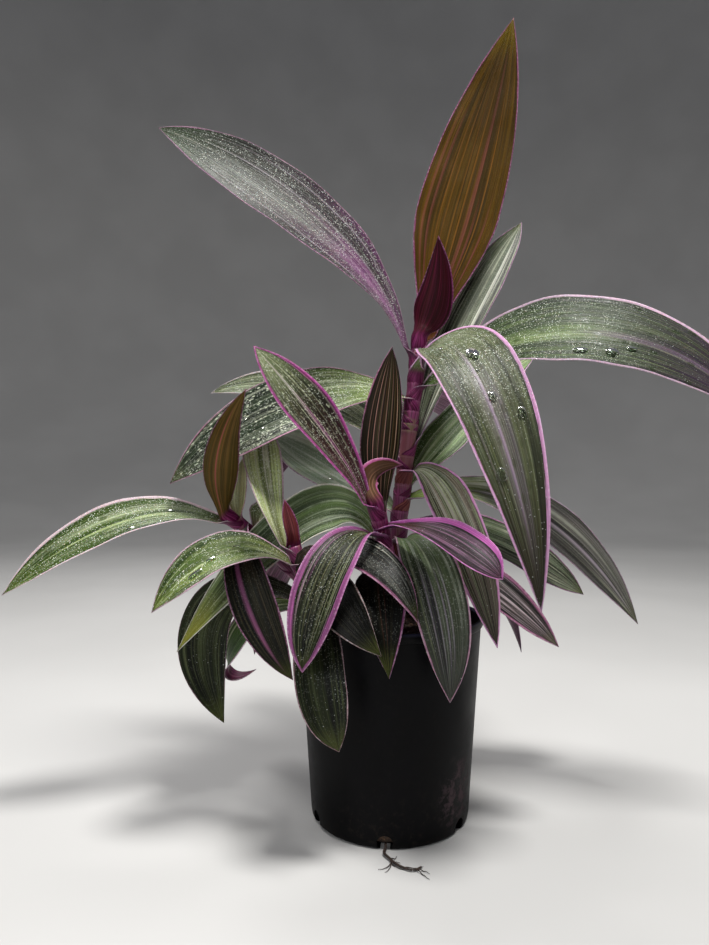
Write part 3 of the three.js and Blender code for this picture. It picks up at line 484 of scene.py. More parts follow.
def sheet_faces(rows, columns):
    """Faces of a closed thin sheet: its upper points row by row, and then its lower ones."""
    faces = []
    low = rows * columns
    for i in range(rows - 1):
        for j in range(columns - 1):
            a, b = i * columns + j, (i + 1) * columns + j
            faces.append((a, a + 1, b + 1, b))
            faces.append((low + a, low + b, low + b + 1, low + a + 1))
        a, b = i * columns, (i + 1) * columns
        faces.append((a, b, low + b, low + a))
        a, b = a + columns - 1, b + columns - 1
        faces.append((low + a, low + b, b, a))
    end = (rows - 1) * columns
    for j in range(columns - 1):
        faces.append((j + 1, j, low + j, low + j + 1))
        faces.append((end + j, end + j + 1, low + end + j + 1, low + end + j))
    return faces


def tube(path, radii, sides):
    """Points and faces of a closed tube along a path."""
    path = np.asarray(path, float)
    slope = unit(np.gradient(path, axis=0))
    guide = np.array([1.0, 0.0, 0.0]) if abs(slope[0][0]) < 0.8 else np.array([0.0, 1.0, 0.0])
    side = square_to(np.broadcast_to(guide, path.shape), slope)
    front = np.cross(slope, side)
    radii = np.broadcast_to(np.asarray(radii, float).reshape(-1, 1, 1), (len(path), 1, 1))
    across, forth = (line[None, :, None] for line in circle(sides))
    points = (path[:, None] + radii * (side[:, None] * across + front[:, None] * forth)).reshape(-1, 3)
    faces = []
    for i in range(len(path) - 1):
        for j in range(sides):
            a, b = i * sides + j, i * sides + (j + 1) % sides
            faces.append((a, b, b + sides, a + sides))
    faces.append(tuple(range(sides - 1, -1, -1)))
    faces.append(tuple((len(path) - 1) * sides + j for j in range(sides)))
    return points, faces


def turned(profile, sides):
    """Points and faces of a closed body turned round Z, from a profile that starts and ends on it."""
    ring = np.stack(circle(sides), -1)
    points, faces, rows = [], [], []
    for radius, height in profile:
        if radius == 0:
            rows.append([len(points)] * sides)
            points.append((0.0, 0.0, height))
        else:
            rows.append(list(range(len(points), len(points) + sides)))
            points += [(x * radius, y * radius, height) for x, y in ring]
    for low, high in zip(rows, rows[1:]):
        for j in range(sides):
            k = (j + 1) % sides
            face = list(dict.fromkeys((low[j], low[k], high[k], high[j])))
            if len(face) > 2:
                faces.append(face)
    return points, faces


def ball(level):
    """A round ball of triangles, finer with each level."""
    g = (1 + 5**0.5) / 2
    points = [(-1, g, 0), (1, g, 0), (-1, -g, 0), (1, -g, 0), (0, -1, g), (0, 1, g),
              (0, -1, -g), (0, 1, -g), (g, 0, -1), (g, 0, 1), (-g, 0, -1), (-g, 0, 1)]
    faces = [(0, 11, 5), (0, 5, 1), (0, 1, 7), (0, 7, 10), (0, 10, 11), (1, 5, 9), (5, 11, 4),
             (11, 10, 2), (10, 7, 6), (7, 1, 8), (3, 9, 4), (3, 4, 2), (3, 2, 6), (3, 6, 8),
             (3, 8, 9), (4, 9, 5), (2, 4, 11), (6, 2, 10), (8, 6, 7), (9, 8, 1)]
    points = [tuple(unit(np.array(p, float))) for p in points]
    for _ in range(level - 1):
        halves, finer = {}, []

        def half(a, b):
            key = (min(a, b), max(a, b))
            if key not in halves:
                halves[key] = len(points)
                points.append(tuple(unit(np.array(points[a]) + np.array(points[b]))))
            return halves[key]

        for a, b, c in faces:
            ab, bc, ca = half(a, b), half(b, c), half(c, a)
            finer += [(a, ab, ca), (b, bc, ab), (c, ca, bc), (ab, bc, ca)]
        faces = finer
    return np.array(points), faces


# Leaves.

LEAF_COLUMNS = 17
ROW_MM = 2.6
FEWEST_ROWS = 14
SHEATH_ROWS = 6
SHEATH_DOWN = 6.5
SHEATH_UP = 0.8
# Half of the angle that a sheath takes of its stem, at its foot and at its top.
CLASP = (178, 82)
FLATTEST = 1e-3
BLEND_MM = 9
# How far a sheath sinks into its stem, and how it swells from there.
SHEATH_SINK = 0.3
SHEATH_SWELL = 0.5
SHEATH_FLARE = 0.25
# What keeps the blade's root clear of its stem, as on the solids.
GAP = 0.3
SHEATH_WALL = 1.2
ROOT_RISE = 0.25
STEM_SIDES_FACTOR = math.cos(math.pi / 8)
END_LIFT = 0.8
# Half thicknesses, and the slight wave of the two sides.
MID_HALF = 0.36
EDGE_HALF = 0.14
TIP_THINNER = 0.55
LEAST_WIDTH = 0.3
WAVE_MM = 0.35
WAVE_LENGTH = 36


def blade_root(row):
    """Where a blade starts, and the way out from the stem there."""
    middle, direction, radius = stem_at(row["stem"], row["along"])
    if row["along"] == 1:
        out = -square_to(np.asarray(row["face"][0], float), direction)
        return middle + direction * END_LIFT, out
    out = square_to(np.asarray(row["reach"][0], float) - middle, direction)
    return middle + out * ((radius + GAP) / STEM_SIDES_FACTOR + SHEATH_WALL / 2 + ROOT_RISE), out


def blade_width(row, t):
    rise = mixed(row["neck"], row["width"], smooth(t / row["peak"]))
    past = np.maximum((t - row["peak"]) / (1 - row["peak"]), 0)
    return np.maximum(rise * (1 - past ** row["fall"]), LEAST_WIDTH)


def blade_cup(row, t):
    """Half of the angle that the blade's section bends through, which is never quite 0."""
    root, quarter, tip = row["cup"]
    early = mixed(root, quarter, smooth(t * 4))
    late = mixed(quarter, tip, np.clip((t - 0.25) / 0.75, 0, 1))
    cup = np.radians(np.where(t < 0.25, early, late))
    return np.where(np.abs(cup) < FLATTEST, FLATTEST, cup)


def blade_grid(row, path, t, s, length, draw):
    """The blade's middle surface, its middle line, the way to its side 1 and its widths."""
    centre, slope = cubic(path, t)
    slope = unit(slope)
    face = [np.asarray(f, float) for f in row["face"]]
    up = square_to(mixed(*face, t[:, None]), slope)
    side = np.cross(slope, up)
    cup = blade_cup(row, t)
    width = blade_width(row, t)
    swing = cup[:, None] * s
    bow = (width / 2 / cup)[:, None]
    phase = draw.uniform(0, FULL_TURN, 2)
    wave = np.sin(t[:, None] * length / WAVE_LENGTH * FULL_TURN + np.where(s < 0, *phase))
    wave = WAVE_MM * np.abs(s) ** 3 * wave * smooth(t[:, None] * 5) * smooth((1 - t[:, None]) * 5)
    rise = bow * (1 - np.cos(swing)) + wave
    blade = centre[:, None] + side[:, None] * (bow * np.sin(swing))[..., None] + up[:, None] * rise[..., None]
    return blade, centre, side, width


def sheath_grid(row, out, blade_side, s):
    """The sheath's surface, its heights on the stem, and its half widths round it."""
    middle, axis, radius = stem_at(row["stem"], row["along"])
    side = np.cross(out, axis)
    if (side * blade_side).sum() < 0:
        side = -side
    w = np.linspace(0, 1, SHEATH_ROWS)
    half = np.radians(mixed(*CLASP, smooth(w)))
    grip = radius - SHEATH_SINK + SHEATH_SWELL * smooth(w * 3) + SHEATH_FLARE * w * w
    height = mixed(-SHEATH_DOWN, SHEATH_UP, w)
    angle = half[:, None] * s
    sheath = (middle + axis * height[:, None, None]
              + out * (grip[:, None] * np.cos(angle))[..., None]
              + side * (grip[:, None] * np.sin(angle))[..., None])
    return sheath, height, grip * half


def leaf_sheet(row, seed):
    """A leaf's middle surface from its sheath to its tip, as a grid of points, with the fields
    that its paint reads: the way run along it, the place across it and what is left to its rim."""
    start, out = blade_root(row)
    path = (start, *row["reach"])
    length = cubic_length(path, 200)
    t = np.linspace(0, 1, max(int(length / ROW_MM), FEWEST_ROWS) + 1)
    s = np.sin(np.linspace(-1, 1, LEAF_COLUMNS) * math.pi / 2)
    blade, centre, side, width = blade_grid(row, path, t, s, length, np.random.default_rng(seed))
    sheath, height, wrap = sheath_grid(row, out, side[0], s)
    carried = sheath[-1][None] + (centre - centre[0])[:, None]
    blade = mixed(carried, blade, smooth(t * length / BLEND_MM)[:, None, None])

    points = np.concatenate([sheath[:-1], blade])
    half_width = np.concatenate([wrap[:-1], width / 2])[:, None]
    full_t = np.concatenate([np.zeros(SHEATH_ROWS - 1), t])
    thick = mixed(EDGE_HALF, MID_HALF, np.sqrt(np.clip(1 - s**2, 0, 1)))
    normal = unit(np.cross(np.gradient(points, axis=1), np.gradient(points, axis=0)))
    return dict(points=points, normal=normal,
                thick=thick * mixed(TIP_THINNER, 1.0, smooth((1 - full_t[:, None]) * 6)),
                run=np.concatenate([height[:-1] - height[-1], t * length]), wide=half_width * s,
                rim=half_width * (1 - np.abs(s)), t=full_t, s=s, length=length, first=SHEATH_ROWS - 1)


def leaf_object(row, sheet, name):
    """The leaf as a closed sheet, held to the solids' box, with its upper side first."""
    shape = sheet["wide"].shape
    run = np.broadcast_to(sheet["run"][:, None], shape)
    cross = np.broadcast_to(sheet["s"] * row["width"] / 2, shape)
    along = np.broadcast_to(sheet["t"][:, None], shape)
    place = np.stack([cross, run, sheet["wide"]], -1).reshape(-1, 3)
    points, rims = [], []
    for sign, upper in ((1, 1.0), (-1, 0.0)):
        points.append((sheet["points"] + sign * sheet["normal"] * sheet["thick"][..., None]).reshape(-1, 3))
        rims.append(np.stack([sheet["rim"], np.full(shape, upper), along], -1).reshape(-1, 3))
    uv = np.stack([0.5 + cross / (2 * row["width"]), run / sheet["length"]], -1).reshape(-1, 2)
    fields = dict(place=np.concatenate([place, place]), rim=np.concatenate(rims))
    points = np.clip(np.concatenate(points), *cad_corners)
    return mesh_object(name, points, sheet_faces(*shape), fields, np.concatenate([uv, uv + (1.2, 0)]))


def on_sheet(sheet, t, s):
    """The point, normal, direction and half thickness of a leaf's upper side at a place."""
    rows = np.interp(t, np.linspace(0, 1, len(sheet["t"]) - sheet["first"]),
                     np.arange(sheet["first"], len(sheet["t"])))
    i = int(min(rows, len(sheet["t"]) - 2))
    j = int(np.clip(np.searchsorted(sheet["s"], s) - 1, 0, LEAF_COLUMNS - 2))
    b = (s - sheet["s"][j]) / (sheet["s"][j + 1] - sheet["s"][j])

    def blend(grid):
        low = mixed(grid[i, j], grid[i, j + 1], b)
        return mixed(low, mixed(grid[i + 1, j], grid[i + 1, j + 1], b), rows - i)

    normal = unit(blend(sheet["normal"]))
    way = unit(sheet["points"][i + 1, j] - sheet["points"][i, j])
    return blend(sheet["points"]), normal, square_to(way, normal), float(blend(sheet["thick"]))


# Materials.


def tone(colour):
    """An on-screen 0..255 colour as linear light."""
    shown = np.asarray(colour, float) / 255
    linear = np.where(shown <= 0.04045, shown / 12.92, ((shown + 0.055) / 1.055) ** 2.4)
    return tuple(float(v) for v in linear)


class Paint:
    """A material's node tree, with a short call for each kind of node."""

    def __init__(self, name):
        self.material = bpy.data.materials.new(name)
        self.material.use_nodes = True
        self.tree = self.material.node_tree
        self.tree.nodes.clear()
        self.shader = self.tree.nodes.new("ShaderNodeBsdfPrincipled")
        self.node("OutputMaterial", None, Surface=self.shader.outputs[0])
        self.colour = None

    def put(self, socket, value):
        if isinstance(value, bpy.types.NodeSocket):
            self.tree.links.new(value, socket)
        elif isinstance(value, tuple) and socket.type == "RGBA":
            socket.default_value = (*tone(value), 1.0)
        else:
            socket.default_value = value

    def node(self, kind, output, *values, settings=(), **named):
        """A new node's output, or all of them for None. Its inputs are given in order or by name."""
        node = self.tree.nodes.new("ShaderNode" + kind)
        for key, value in dict(settings).items():
            setattr(node, key, value)
        for key, value in (*enumerate(values), *named.items()):
            self.put(node.inputs[key], value)
        return node.outputs if output is None else node.outputs[output]

    def math(self, kind, a, b=0.0):
        return self.node("Math", 0, a, b, settings={"operation": kind})

    def plus(self, a, b):
        return self.math("ADD", a, b)

    def less(self, a, b):
        return self.math("SUBTRACT", a, b)

    def times(self, *values):
        result = values[0]
        for value in values[1:]:
            result = self.math("MULTIPLY", result, value)
        return result

    def vector_math(self, kind, output, *values, **named):
        return self.node("VectorMath", output, *values, settings={"operation": kind}, **named)

    def step(self, x, low, high, start=0.0, end=1.0):
        """x between low and high, eased to start..end and held outside them."""
        return self.node("MapRange", 0, x, low, high, start, end,
                         settings={"interpolation_type": "SMOOTHSTEP"})

    def band(self, x, low, high, soft):
        """1 while x is between low and high, and 0 past them."""
        return self.times(self.step(x, low - soft, low), self.step(x, high + soft, high))

    def mix(self, share, a, b):
        """Colour a going over to colour b."""
        node = self.tree.nodes.new("ShaderNodeMix")
        node.data_type = "RGBA"
        for key, value in ((0, share), (6, a), (7, b)):
            self.put(node.inputs[key], value)
        return node.outputs[2]

    def coat(self, share, colour):
        """Lays a share of a colour over the paint's own."""
        self.colour = self.mix(share, self.colour, colour)

    def vector(self, *values):
        return self.node("CombineXYZ", 0, *values)

    def parts(self, vector):
        return self.node("SeparateXYZ", None, vector)

    def field(self, name):
        """The three parts of a vector field on the points."""
        return self.parts(self.node("Attribute", "Vector", settings={"attribute_name": name}))

    def place(self):
        """The point on the object, in millimetres."""
        return self.vector_math("SCALE", 0, self.node("TexCoord", "Object"), Scale=1 / MM)

    def facing_up(self):
        """1 where the surface looks straight up, down to -1 where it looks down."""
        return self.parts(self.node("TexCoord", "Normal"))[2]

    def stain(self, spot, centre, size, core=0.35):
        """1 at a patch's middle, down to 0 at its outline."""
        moved = self.vector_math("SUBTRACT", 0, spot, centre)
        sized = self.vector_math("DIVIDE", 0, moved, size)
        return self.step(self.vector_math("LENGTH", "Value", sized), 1.0, core)

    def noise(self, place, scale=1.0, detail=2.0, rough=0.5):
        return self.node("TexNoise", 0, Vector=place, Scale=scale, Detail=detail, Roughness=rough)

    def cells(self, place, scale=1.0):
        """Distance to the nearest of scattered points, and a number for each of them."""
        found = self.node("TexVoronoi", None, Vector=place, Scale=scale)
        return found["Distance"], self.node("SeparateColor", 0, found["Color"])

    def bump(self, height, depth_mm, strength=1.0):
        tilt = self.node("Bump", 0, Strength=strength, Distance=depth_mm * MM, Height=height)
        self.put(self.shader.inputs["Normal"], tilt)

    def finish(self, roughness, **fixed):
        self.put(self.shader.inputs["Base Color"], self.colour)
        self.put(self.shader.inputs["Roughness"], roughness)
        for key, value in fixed.items():
            self.shader.inputs[key.replace("_", " ")].default_value = value
        return self.material


# How much the leaves' colours deepen, for light that also comes back from inside them.
LEAF_DEPTH = 1.2
# The white of the dew's points, which are painted glints.
DEW_GLINT_WHITE = (250, 252, 244)


def leaf_paint(name, look, half_width, seed):
    """A leaf's skin. cross runs over the full width, wide over the width at the place and run along
    the leaf, all in millimetres. rim is what is left to the margin, and along goes from 0 to 1."""
    g = Paint(name)
    cross, run, wide = g.field("place")
    rim, upper, along = g.field("rim")
    spot = g.vector(wide, run, seed + 0.5)
    deep, base, pale = look["deep"], look["base"], look["pale"]

    def grain(across_scale, along_scale, offset, detail=2.0):
        """Noise that is drawn out along the leaf."""
        drawn = g.vector(g.times(cross, across_scale * look["pitch"]), g.times(run, along_scale),
                         seed + offset)
        return g.noise(drawn, 1.0, detail)

    # Upper side: broad bands, the colours of its root and tip, and paler ribbons.
    bands = g.step(grain(0.18, 0.008, 0.0), 0.4, 0.6)
    streaks = g.step(grain(0.62, 0.012, 11.3, 3.0), 0.5, 0.64)
    lines = g.step(grain(1.3, 0.01, 23.7), 0.47, 0.6)
    threads = g.step(grain(1.6, 0.01, 71.0, 1.5), 0.56, 0.66)
    blotch = g.noise(spot, 0.09, 3.0)
    g.colour = g.mix(bands, deep, base)
    near_root = g.step(run, look["root_mm"], 0.0, 0.0, look["root_amount"])
    g.coat(g.times(near_root, g.step(blotch, 0.2, 0.7, 0.75, 1.0)), look["root"])
    g.coat(g.times(streaks, look["streak"], g.step(blotch, 0.3, 0.6, 0.3, 0.9)), pale)
    from_tip = g.times(g.less(1.0, along), look["length"])
    g.coat(g.step(from_tip, look["tip_mm"], 0.0, 0.0, look["tip_amount"]), look["tip"])

    # Where dew settles, the skin between its points looks darker, and dashes are dried water.
    dewy = g.times(g.step(g.facing_up(), 0.0, 0.55, look["low_speck"], 1.0), look["speck"],
                   g.step(along, look["speck_last"] + 0.15, look["speck_last"] - 0.2, 0.12, 1.0))
    grit = g.noise(spot, 0.95, 3.0, 0.7)
    g.coat(g.times(g.step(grit, 0.52, 0.36), dewy, 0.55), deep)
    if look["dash"]:
        far, pick = g.cells(g.vector(g.times(wide, 0.95), g.times(run, 0.42), seed + 5.0))
        drawn = g.times(g.step(far, 0.42, 0.22), g.step(pick, 0.3, 0.6), g.step(blotch, 0.3, 0.5, 0.4, 1.0))
        g.coat(g.times(drawn, look["dash"], g.step(along, 0.25, 0.55)), pale)

    # Underside.
    under = g.mix(g.step(grain(0.9, 0.01, 41.0), 0.45, 0.66), look["under"], look["under_line"])
    under = g.mix(g.step(blotch, 0.35, 0.7, 0.0, 0.25), under, deep)
    top = g.step(upper, 0.35, 0.65)
    side = 1.0 if look["both"] else top
    g.colour = g.mix(top, under, g.colour)

    # Stripes, then the fine dark and pale lines of both sides.
    worn = g.step(threads, -0.5, 1.0, 0.55, 1.0)
    for middle, half, first, last, stripe, strength in look["stripes"]:
        off = g.math("ABSOLUTE", g.less(cross, middle * half_width))
        mask = g.step(off, half * half_width * 1.35, half * half_width * 0.4)
        reach = g.times(g.step(along, first - 0.05, first + 0.12), g.step(along, last + 0.03, last - 0.2))
        g.coat(g.times(mask, reach, worn, side, strength), stripe)
    g.coat(g.times(lines, look["fine"], 0.7), look["line"])
    g.coat(g.times(threads, look["fine"], 0.55, side), pale)

    # Water: white points of dew, which are painted glints, wet patches, and what shows through the drops.
    soaked = g.mix(0.5, deep, base)
    drift = g.step(g.noise(spot, 0.13), 0.36, 0.6, 0.35, 1.0)
    far, pick = g.cells(spot, 1.3)
    dots = g.times(g.step(far, 0.48, 0.2), g.step(pick, 0.42, 0.6))
    dew_glint = g.times(dots, drift, dewy, top)
    g.coat(g.times(dew_glint, 0.95), g.mix(0.75, pale, DEW_GLINT_WHITE))
    rough = g.less(g.step(blotch, 0.2, 0.8, 0.38, 0.5), g.times(dew_glint, 0.2))
    if look["wet"]:
        far, pick = g.cells(g.vector(g.times(wide, 0.3), g.times(run, 0.14), seed + 9.0))
        film = g.times(g.step(far, 0.38, 0.28), g.times(g.step(pick, 0.55, 0.65), look["wet"], top))
        g.coat(g.times(film, 0.75), g.mix(0.4, deep, base))
        rough = g.less(rough, g.times(film, 0.25))
    for off, at, wide_half, long_half in look["drops"]:
        under_drop = g.stain(spot, (off, at, seed + 0.5), (wide_half, long_half, 1.0), 0.85)
        g.coat(g.times(under_drop, top, 0.45), soaked)

    # Margin: a beaded line of uneven width, with a darker seam inside it. The margin colour's dark copy is
    # painted shade, and its light copy, on the palest beads at the very rim, is painted highlight.
    uneven = g.plus(g.noise(g.vector(g.times(run, 0.12), seed, upper)), g.times(g.less(threads, lines), 0.3))
    width = g.times(g.step(cross, -1.0, 1.0, *look["edge_mm"]), g.step(run, -2.0, 22.0, 0.6, 1.0),
                    g.step(from_tip, 0.0, 26.0, 0.5, 1.0))
    border = g.math("DIVIDE", g.less(rim, g.step(uneven, 0.1, 0.9, -0.35, 0.35)), width)
    g.coat(g.times(g.step(border, 2.1, 1.1), 0.4), deep)
    # light and dark: a painted-highlight copy and a painted-shade copy of the margin colour.
    light = tuple(int(c * 0.5 + 120) for c in look["edge"])
    dark = tuple(int(c * (0.4 + 0.0008 * sum(look["edge"]))) for c in look["edge"])
    edge = g.mix(g.step(grain(1.5, 0.02, 88.0), 0.4, 0.65), dark, look["edge"])
    bead = g.noise(g.vector(g.times(run, 0.8), g.times(cross, 0.3), seed), 1.0, 4.0, 0.7)
    edge = g.mix(g.step(bead, 0.5, 0.34, 0.0, 0.45), edge, dark)
    edge = g.mix(g.times(g.step(rim, 1.0, 0.15), g.step(bead, 0.38, 0.66, 0.1, 0.8)), edge, light)
    g.coat(g.step(border, 1.15, 0.7), edge)
    sheath = g.mix(g.step(grain(0.9, 0.02, 61.0), 0.4, 0.66), *look["sheath"])
    g.coat(g.step(run, 4.0, -2.0), sheath)

    height = g.plus(g.plus(g.times(lines, -0.5), g.times(threads, 0.4)), g.times(dew_glint, 0.9))
    g.bump(g.plus(height, g.times(g.noise(spot, 1.1, 3.0), 0.5)), 0.2, 0.9)
    g.colour = g.node("Gamma", 0, g.colour, LEAF_DEPTH)
    return g.finish(rough, Subsurface_Weight=0.08, Subsurface_Scale=0.0008,
                    Specular_IOR_Level=look["shine"])


# Heights on a stem, measured along it: its earthy foot, and one red and one green joint.
STEM_FOOT = (60.0, 4.0)
STEM_RED = (88.0, 112.0, 6.0)
STEM_GREEN = (116.0, 121.0, 2.5)


def stem_paint():
    g = Paint("stem_skin")
    around, along, ring = g.field("place")
    spot = g.vector(around, along, 3.0)
    lines = g.noise(g.vector(g.times(around, 1.6), g.times(along, 0.05), 2.0), 1.0, 3.0)
    g.colour = g.mix(g.step(lines, 0.38, 0.66), (96, 26, 68), (150, 66, 116))
    earthy = g.times(g.step(along, *STEM_FOOT), g.step(g.noise(spot, 0.25, 3.0), 0.3, 0.6, 0.5, 1.0))
    g.coat(earthy, (116, 74, 60))
    g.coat(g.step(g.noise(spot, 0.12), 0.52, 0.7, 0.0, 0.6), (110, 98, 60))
    g.coat(g.times(g.band(along, *STEM_RED), 0.7), (128, 78, 78))
    g.coat(g.times(g.band(along, *STEM_GREEN), 0.4), (118, 122, 68))
    # A pale band on each joint's ring: painted highlight.
    g.coat(g.step(ring, 0.75, 1.0, 0.0, 0.3), (164, 110, 136))
    g.bump(g.plus(lines, g.noise(spot, 1.4, 3.0)), 0.18, 0.8)
    return g.finish(0.42, Subsurface_Weight=0.1, Subsurface_Scale=0.0015)


# The middle and half sizes of the lime scale on the pot, and the heights its dust fades between.
SCALE_PLACE = (33, -29, 22)
SCALE_SIZE = (17, 17, 24)
DUST_FADE = (34.0, 2.0)


def pot_paint():
    g = Paint("pot_plastic")
    spot = g.place()
    x, y, z = g.parts(spot)
    film = g.noise(spot, 0.07, 4.0, 0.6)
    g.colour = g.mix(g.step(film, 0.3, 0.75), (3, 3, 4), (7, 7, 9))
    dust = g.times(g.step(g.noise(spot, 0.35, 5.0, 0.65), 0.5, 0.72), g.step(z, *DUST_FADE, 0.1, 0.55))
    g.coat(dust, (40, 34, 30))
    scale = g.times(g.stain(spot, SCALE_PLACE, SCALE_SIZE), g.step(g.noise(spot, 0.22, 6.0, 0.7), 0.47, 0.6))
    g.coat(g.times(scale, 0.7), (84, 70, 74))
    # A bluish band round the lip: painted highlight.
    lip_highlight = g.step(z, POT_HEIGHT - 2.0, POT_HEIGHT - 0.4)
    g.coat(g.times(lip_highlight, 0.45), (46, 46, 66))
    scuff = g.noise(g.vector(g.times(x, 0.5), g.times(y, 0.5), g.times(z, 3.0)), 1.0, 3.0)
    rough = g.plus(g.step(film, 0.2, 0.8, 0.38, 0.52), g.times(g.plus(dust, scale), 0.4))
    fine = g.times(g.noise(spot, 1.3, 3.0), 0.5)
    g.bump(g.plus(fine, g.plus(g.times(scale, 1.2), g.times(scuff, 0.3))), 0.1, 0.5)
    return g.finish(rough, Specular_IOR_Level=0.08)


def soil_paint():
    g = Paint("soil_grains")
    spot = g.place()
    grain = g.noise(spot, 0.9, 5.0, 0.65)
    g.colour = g.mix(g.step(grain, 0.35, 0.65), (34, 24, 18), (84, 62, 46))
    g.coat(g.step(g.noise(spot, 0.12, 3.0), 0.45, 0.65, 0.0, 0.4), (58, 46, 38))
    chips, pick = g.cells(spot, 0.7)
    g.coat(g.times(g.step(chips, 0.35, 0.2), g.step(pick, 0.72, 0.8), 0.7), (132, 104, 78))
    g.bump(g.plus(grain, g.times(chips, -0.5)), 0.9, 0.8)
    return g.finish(g.step(grain, 0.3, 0.7, 0.75, 0.95))


def grain_paint(name, dark, light, scale, roughness, detail=2.0, rough=0.5, ends=(0.35, 0.65),
                bump=None, **fixed):
    """Two colours mixed by one grain, which may also raise the surface."""
    g = Paint(name)
    grain = g.noise(g.place(), scale, detail, rough)
    if bump:
        g.bump(grain, *bump)
    g.colour = g.mix(g.step(grain, *ends), dark, light)
    return g.finish(roughness, **fixed)


def crumb_paint(name, dark, light):
    return grain_paint(name, dark, light, 1.6, 0.85, 4.0, 0.6, bump=(0.3, 0.7))


def root_paint():
    return grain_paint("root_skin", (27, 19, 15), (58, 42, 33), 1.1, 0.7, 4.0, 0.6, bump=(0.2, 0.6))


def hair_paint():
    return grain_paint("leaf_hair", (196, 168, 190), (232, 224, 224), 0.4, 0.45,
                       Subsurface_Weight=0.15, Subsurface_Scale=0.0005)


def water_paint(name, clear):
    return grain_paint(name, (232, 240, 232), (250, 252, 250), 0.2, 0.04, ends=(0.3, 0.7),
                       Transmission_Weight=clear, IOR=1.33, Specular_IOR_Level=0.5)


def floor_paint():
    g = Paint("floor_paper")
    spot = g.place()
    g.colour = g.mix(g.step(g.noise(spot, 0.004), 0.3, 0.7), (196, 195, 193), (203, 202, 200))
    g.bump(g.noise(spot, 0.9, 3.0), 0.05, 0.3)
    return g.finish(0.8)


# Pieces.


def add_piece(obj, material, stands_for=()):
    obj.data.materials.append(material)
    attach(obj, "root")
    if stands_for:
        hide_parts(*stands_for)
    return obj


# How far apart the leaves' paints lie in the noise that they share.
PAINT_STRIDE = 7.3


def build_leaves():
    sheets = {}
    for seed, row in enumerate(LEAVES):
        name = row["name"]
        sheet = leaf_sheet(row, seed)
        drops = [(s * blade_width(row, t) / 2, t * sheet["length"], width / 2, length / 2)
                 for owner, t, s, length, width in DROPS if owner == name]
        look = dict(PAINT[name], length=sheet["length"], drops=drops)
        paint = leaf_paint(f"skin_{name}", look, row["width"] / 2, seed * PAINT_STRIDE)
        add_piece(leaf_object(row, sheet, f"blade_{name}"), paint, [f"leaf_{name}"])
        sheets[name] = sheet
    return sheets


STEM_ROW_MM = 1.2
STEM_SIDES = 24
STEM_INSET = 0.12
# The ring under each leaf: how far it stands out, and how far it reaches along the stem.
RING_RISE = 0.35
RING_REACH = 1.3


def build_stems():
    paint = stem_paint()
    for name, (path, radii) in STEMS.items():
        length = cubic_length(path, 100)
        t = np.linspace(0, 1, int(length / STEM_ROW_MM) + 1)
        leaves = np.array([row["along"] for row in LEAVES if row["stem"] == name and row["along"] < 1])
        off = (t[:, None] - leaves) * length + SHEATH_DOWN
        ring = np.exp(-((off / RING_REACH) ** 2)).max(axis=1)
        radius = mixed(*radii, t) - STEM_INSET + RING_RISE * ring
        points, faces = tube(cubic(path, t)[0], radius, STEM_SIDES)
        turn = np.tile(np.arange(STEM_SIDES) / STEM_SIDES, len(t))
        fields = [turn * FULL_TURN * radii[0], np.repeat(t * length, STEM_SIDES), np.repeat(ring, STEM_SIDES)]
        uv = np.stack([turn, np.repeat(t, STEM_SIDES)], -1)
        obj = mesh_object(f"stalk_{name}", points, faces, dict(place=np.stack(fields, -1)), uv)
        add_piece(obj, paint, [f"stem_{name}"])


POT_SIDES = 144
LIP_BEAD = 0.55
DRAIN_HEIGHT = 3.2
DRAIN_REACH = 7
SHARP_DEGREES = 40


def pot_radius(height):
    return mixed(POT_BASE_RADIUS, POT_TOP_RADIUS - LIP_STEP, height / POT_HEIGHT)


def pot_profile():
    """The pot's section, from its foot's middle up the outside, over the bead and down the inside."""
    lip_foot = POT_HEIGHT - LIP_DEPTH
    corner = [(POT_BASE_RADIUS - FOOT_CHAMFER * (1 - math.sin(a)), FOOT_CHAMFER * (1 - math.cos(a)))
              for a in np.linspace(0, math.pi / 2, 6)]
    wall = [(pot_radius(z), z) for z in np.linspace(FOOT_CHAMFER + 1.5, lip_foot - 0.6, 28)]
    bead = [(POT_TOP_RADIUS + LIP_BEAD * (math.cos(a) - 1), POT_HEIGHT + LIP_BEAD * (math.sin(a) - 1))
            for a in np.linspace(0, math.pi * 0.9, 8)]
    outer = [(0, 0), (POT_BASE_RADIUS * 0.5, 0), *corner, *wall, (pot_radius(lip_foot), lip_foot),
             (POT_TOP_RADIUS - 0.5, lip_foot + 0.25), (POT_TOP_RADIUS - 0.15, lip_foot + 0.8),
             (POT_TOP_RADIUS, POT_HEIGHT - 2), *bead]
    inner = [(pot_radius(z) - POT_WALL, z) for z in np.linspace(lip_foot, POT_FLOOR + 2, 20)]
    return [*outer, (POT_TOP_RADIUS - POT_WALL - 0.7, POT_HEIGHT - 1.2), *inner,
            (POT_BASE_RADIUS - POT_WALL - 1.5, POT_FLOOR), (0, POT_FLOOR)]


def apply_modifiers(obj):
    graph = bpy.context.evaluated_depsgraph_get()
    mesh = bpy.data.meshes.new_from_object(obj.evaluated_get(graph))
    obj.modifiers.clear()
    obj.data = mesh


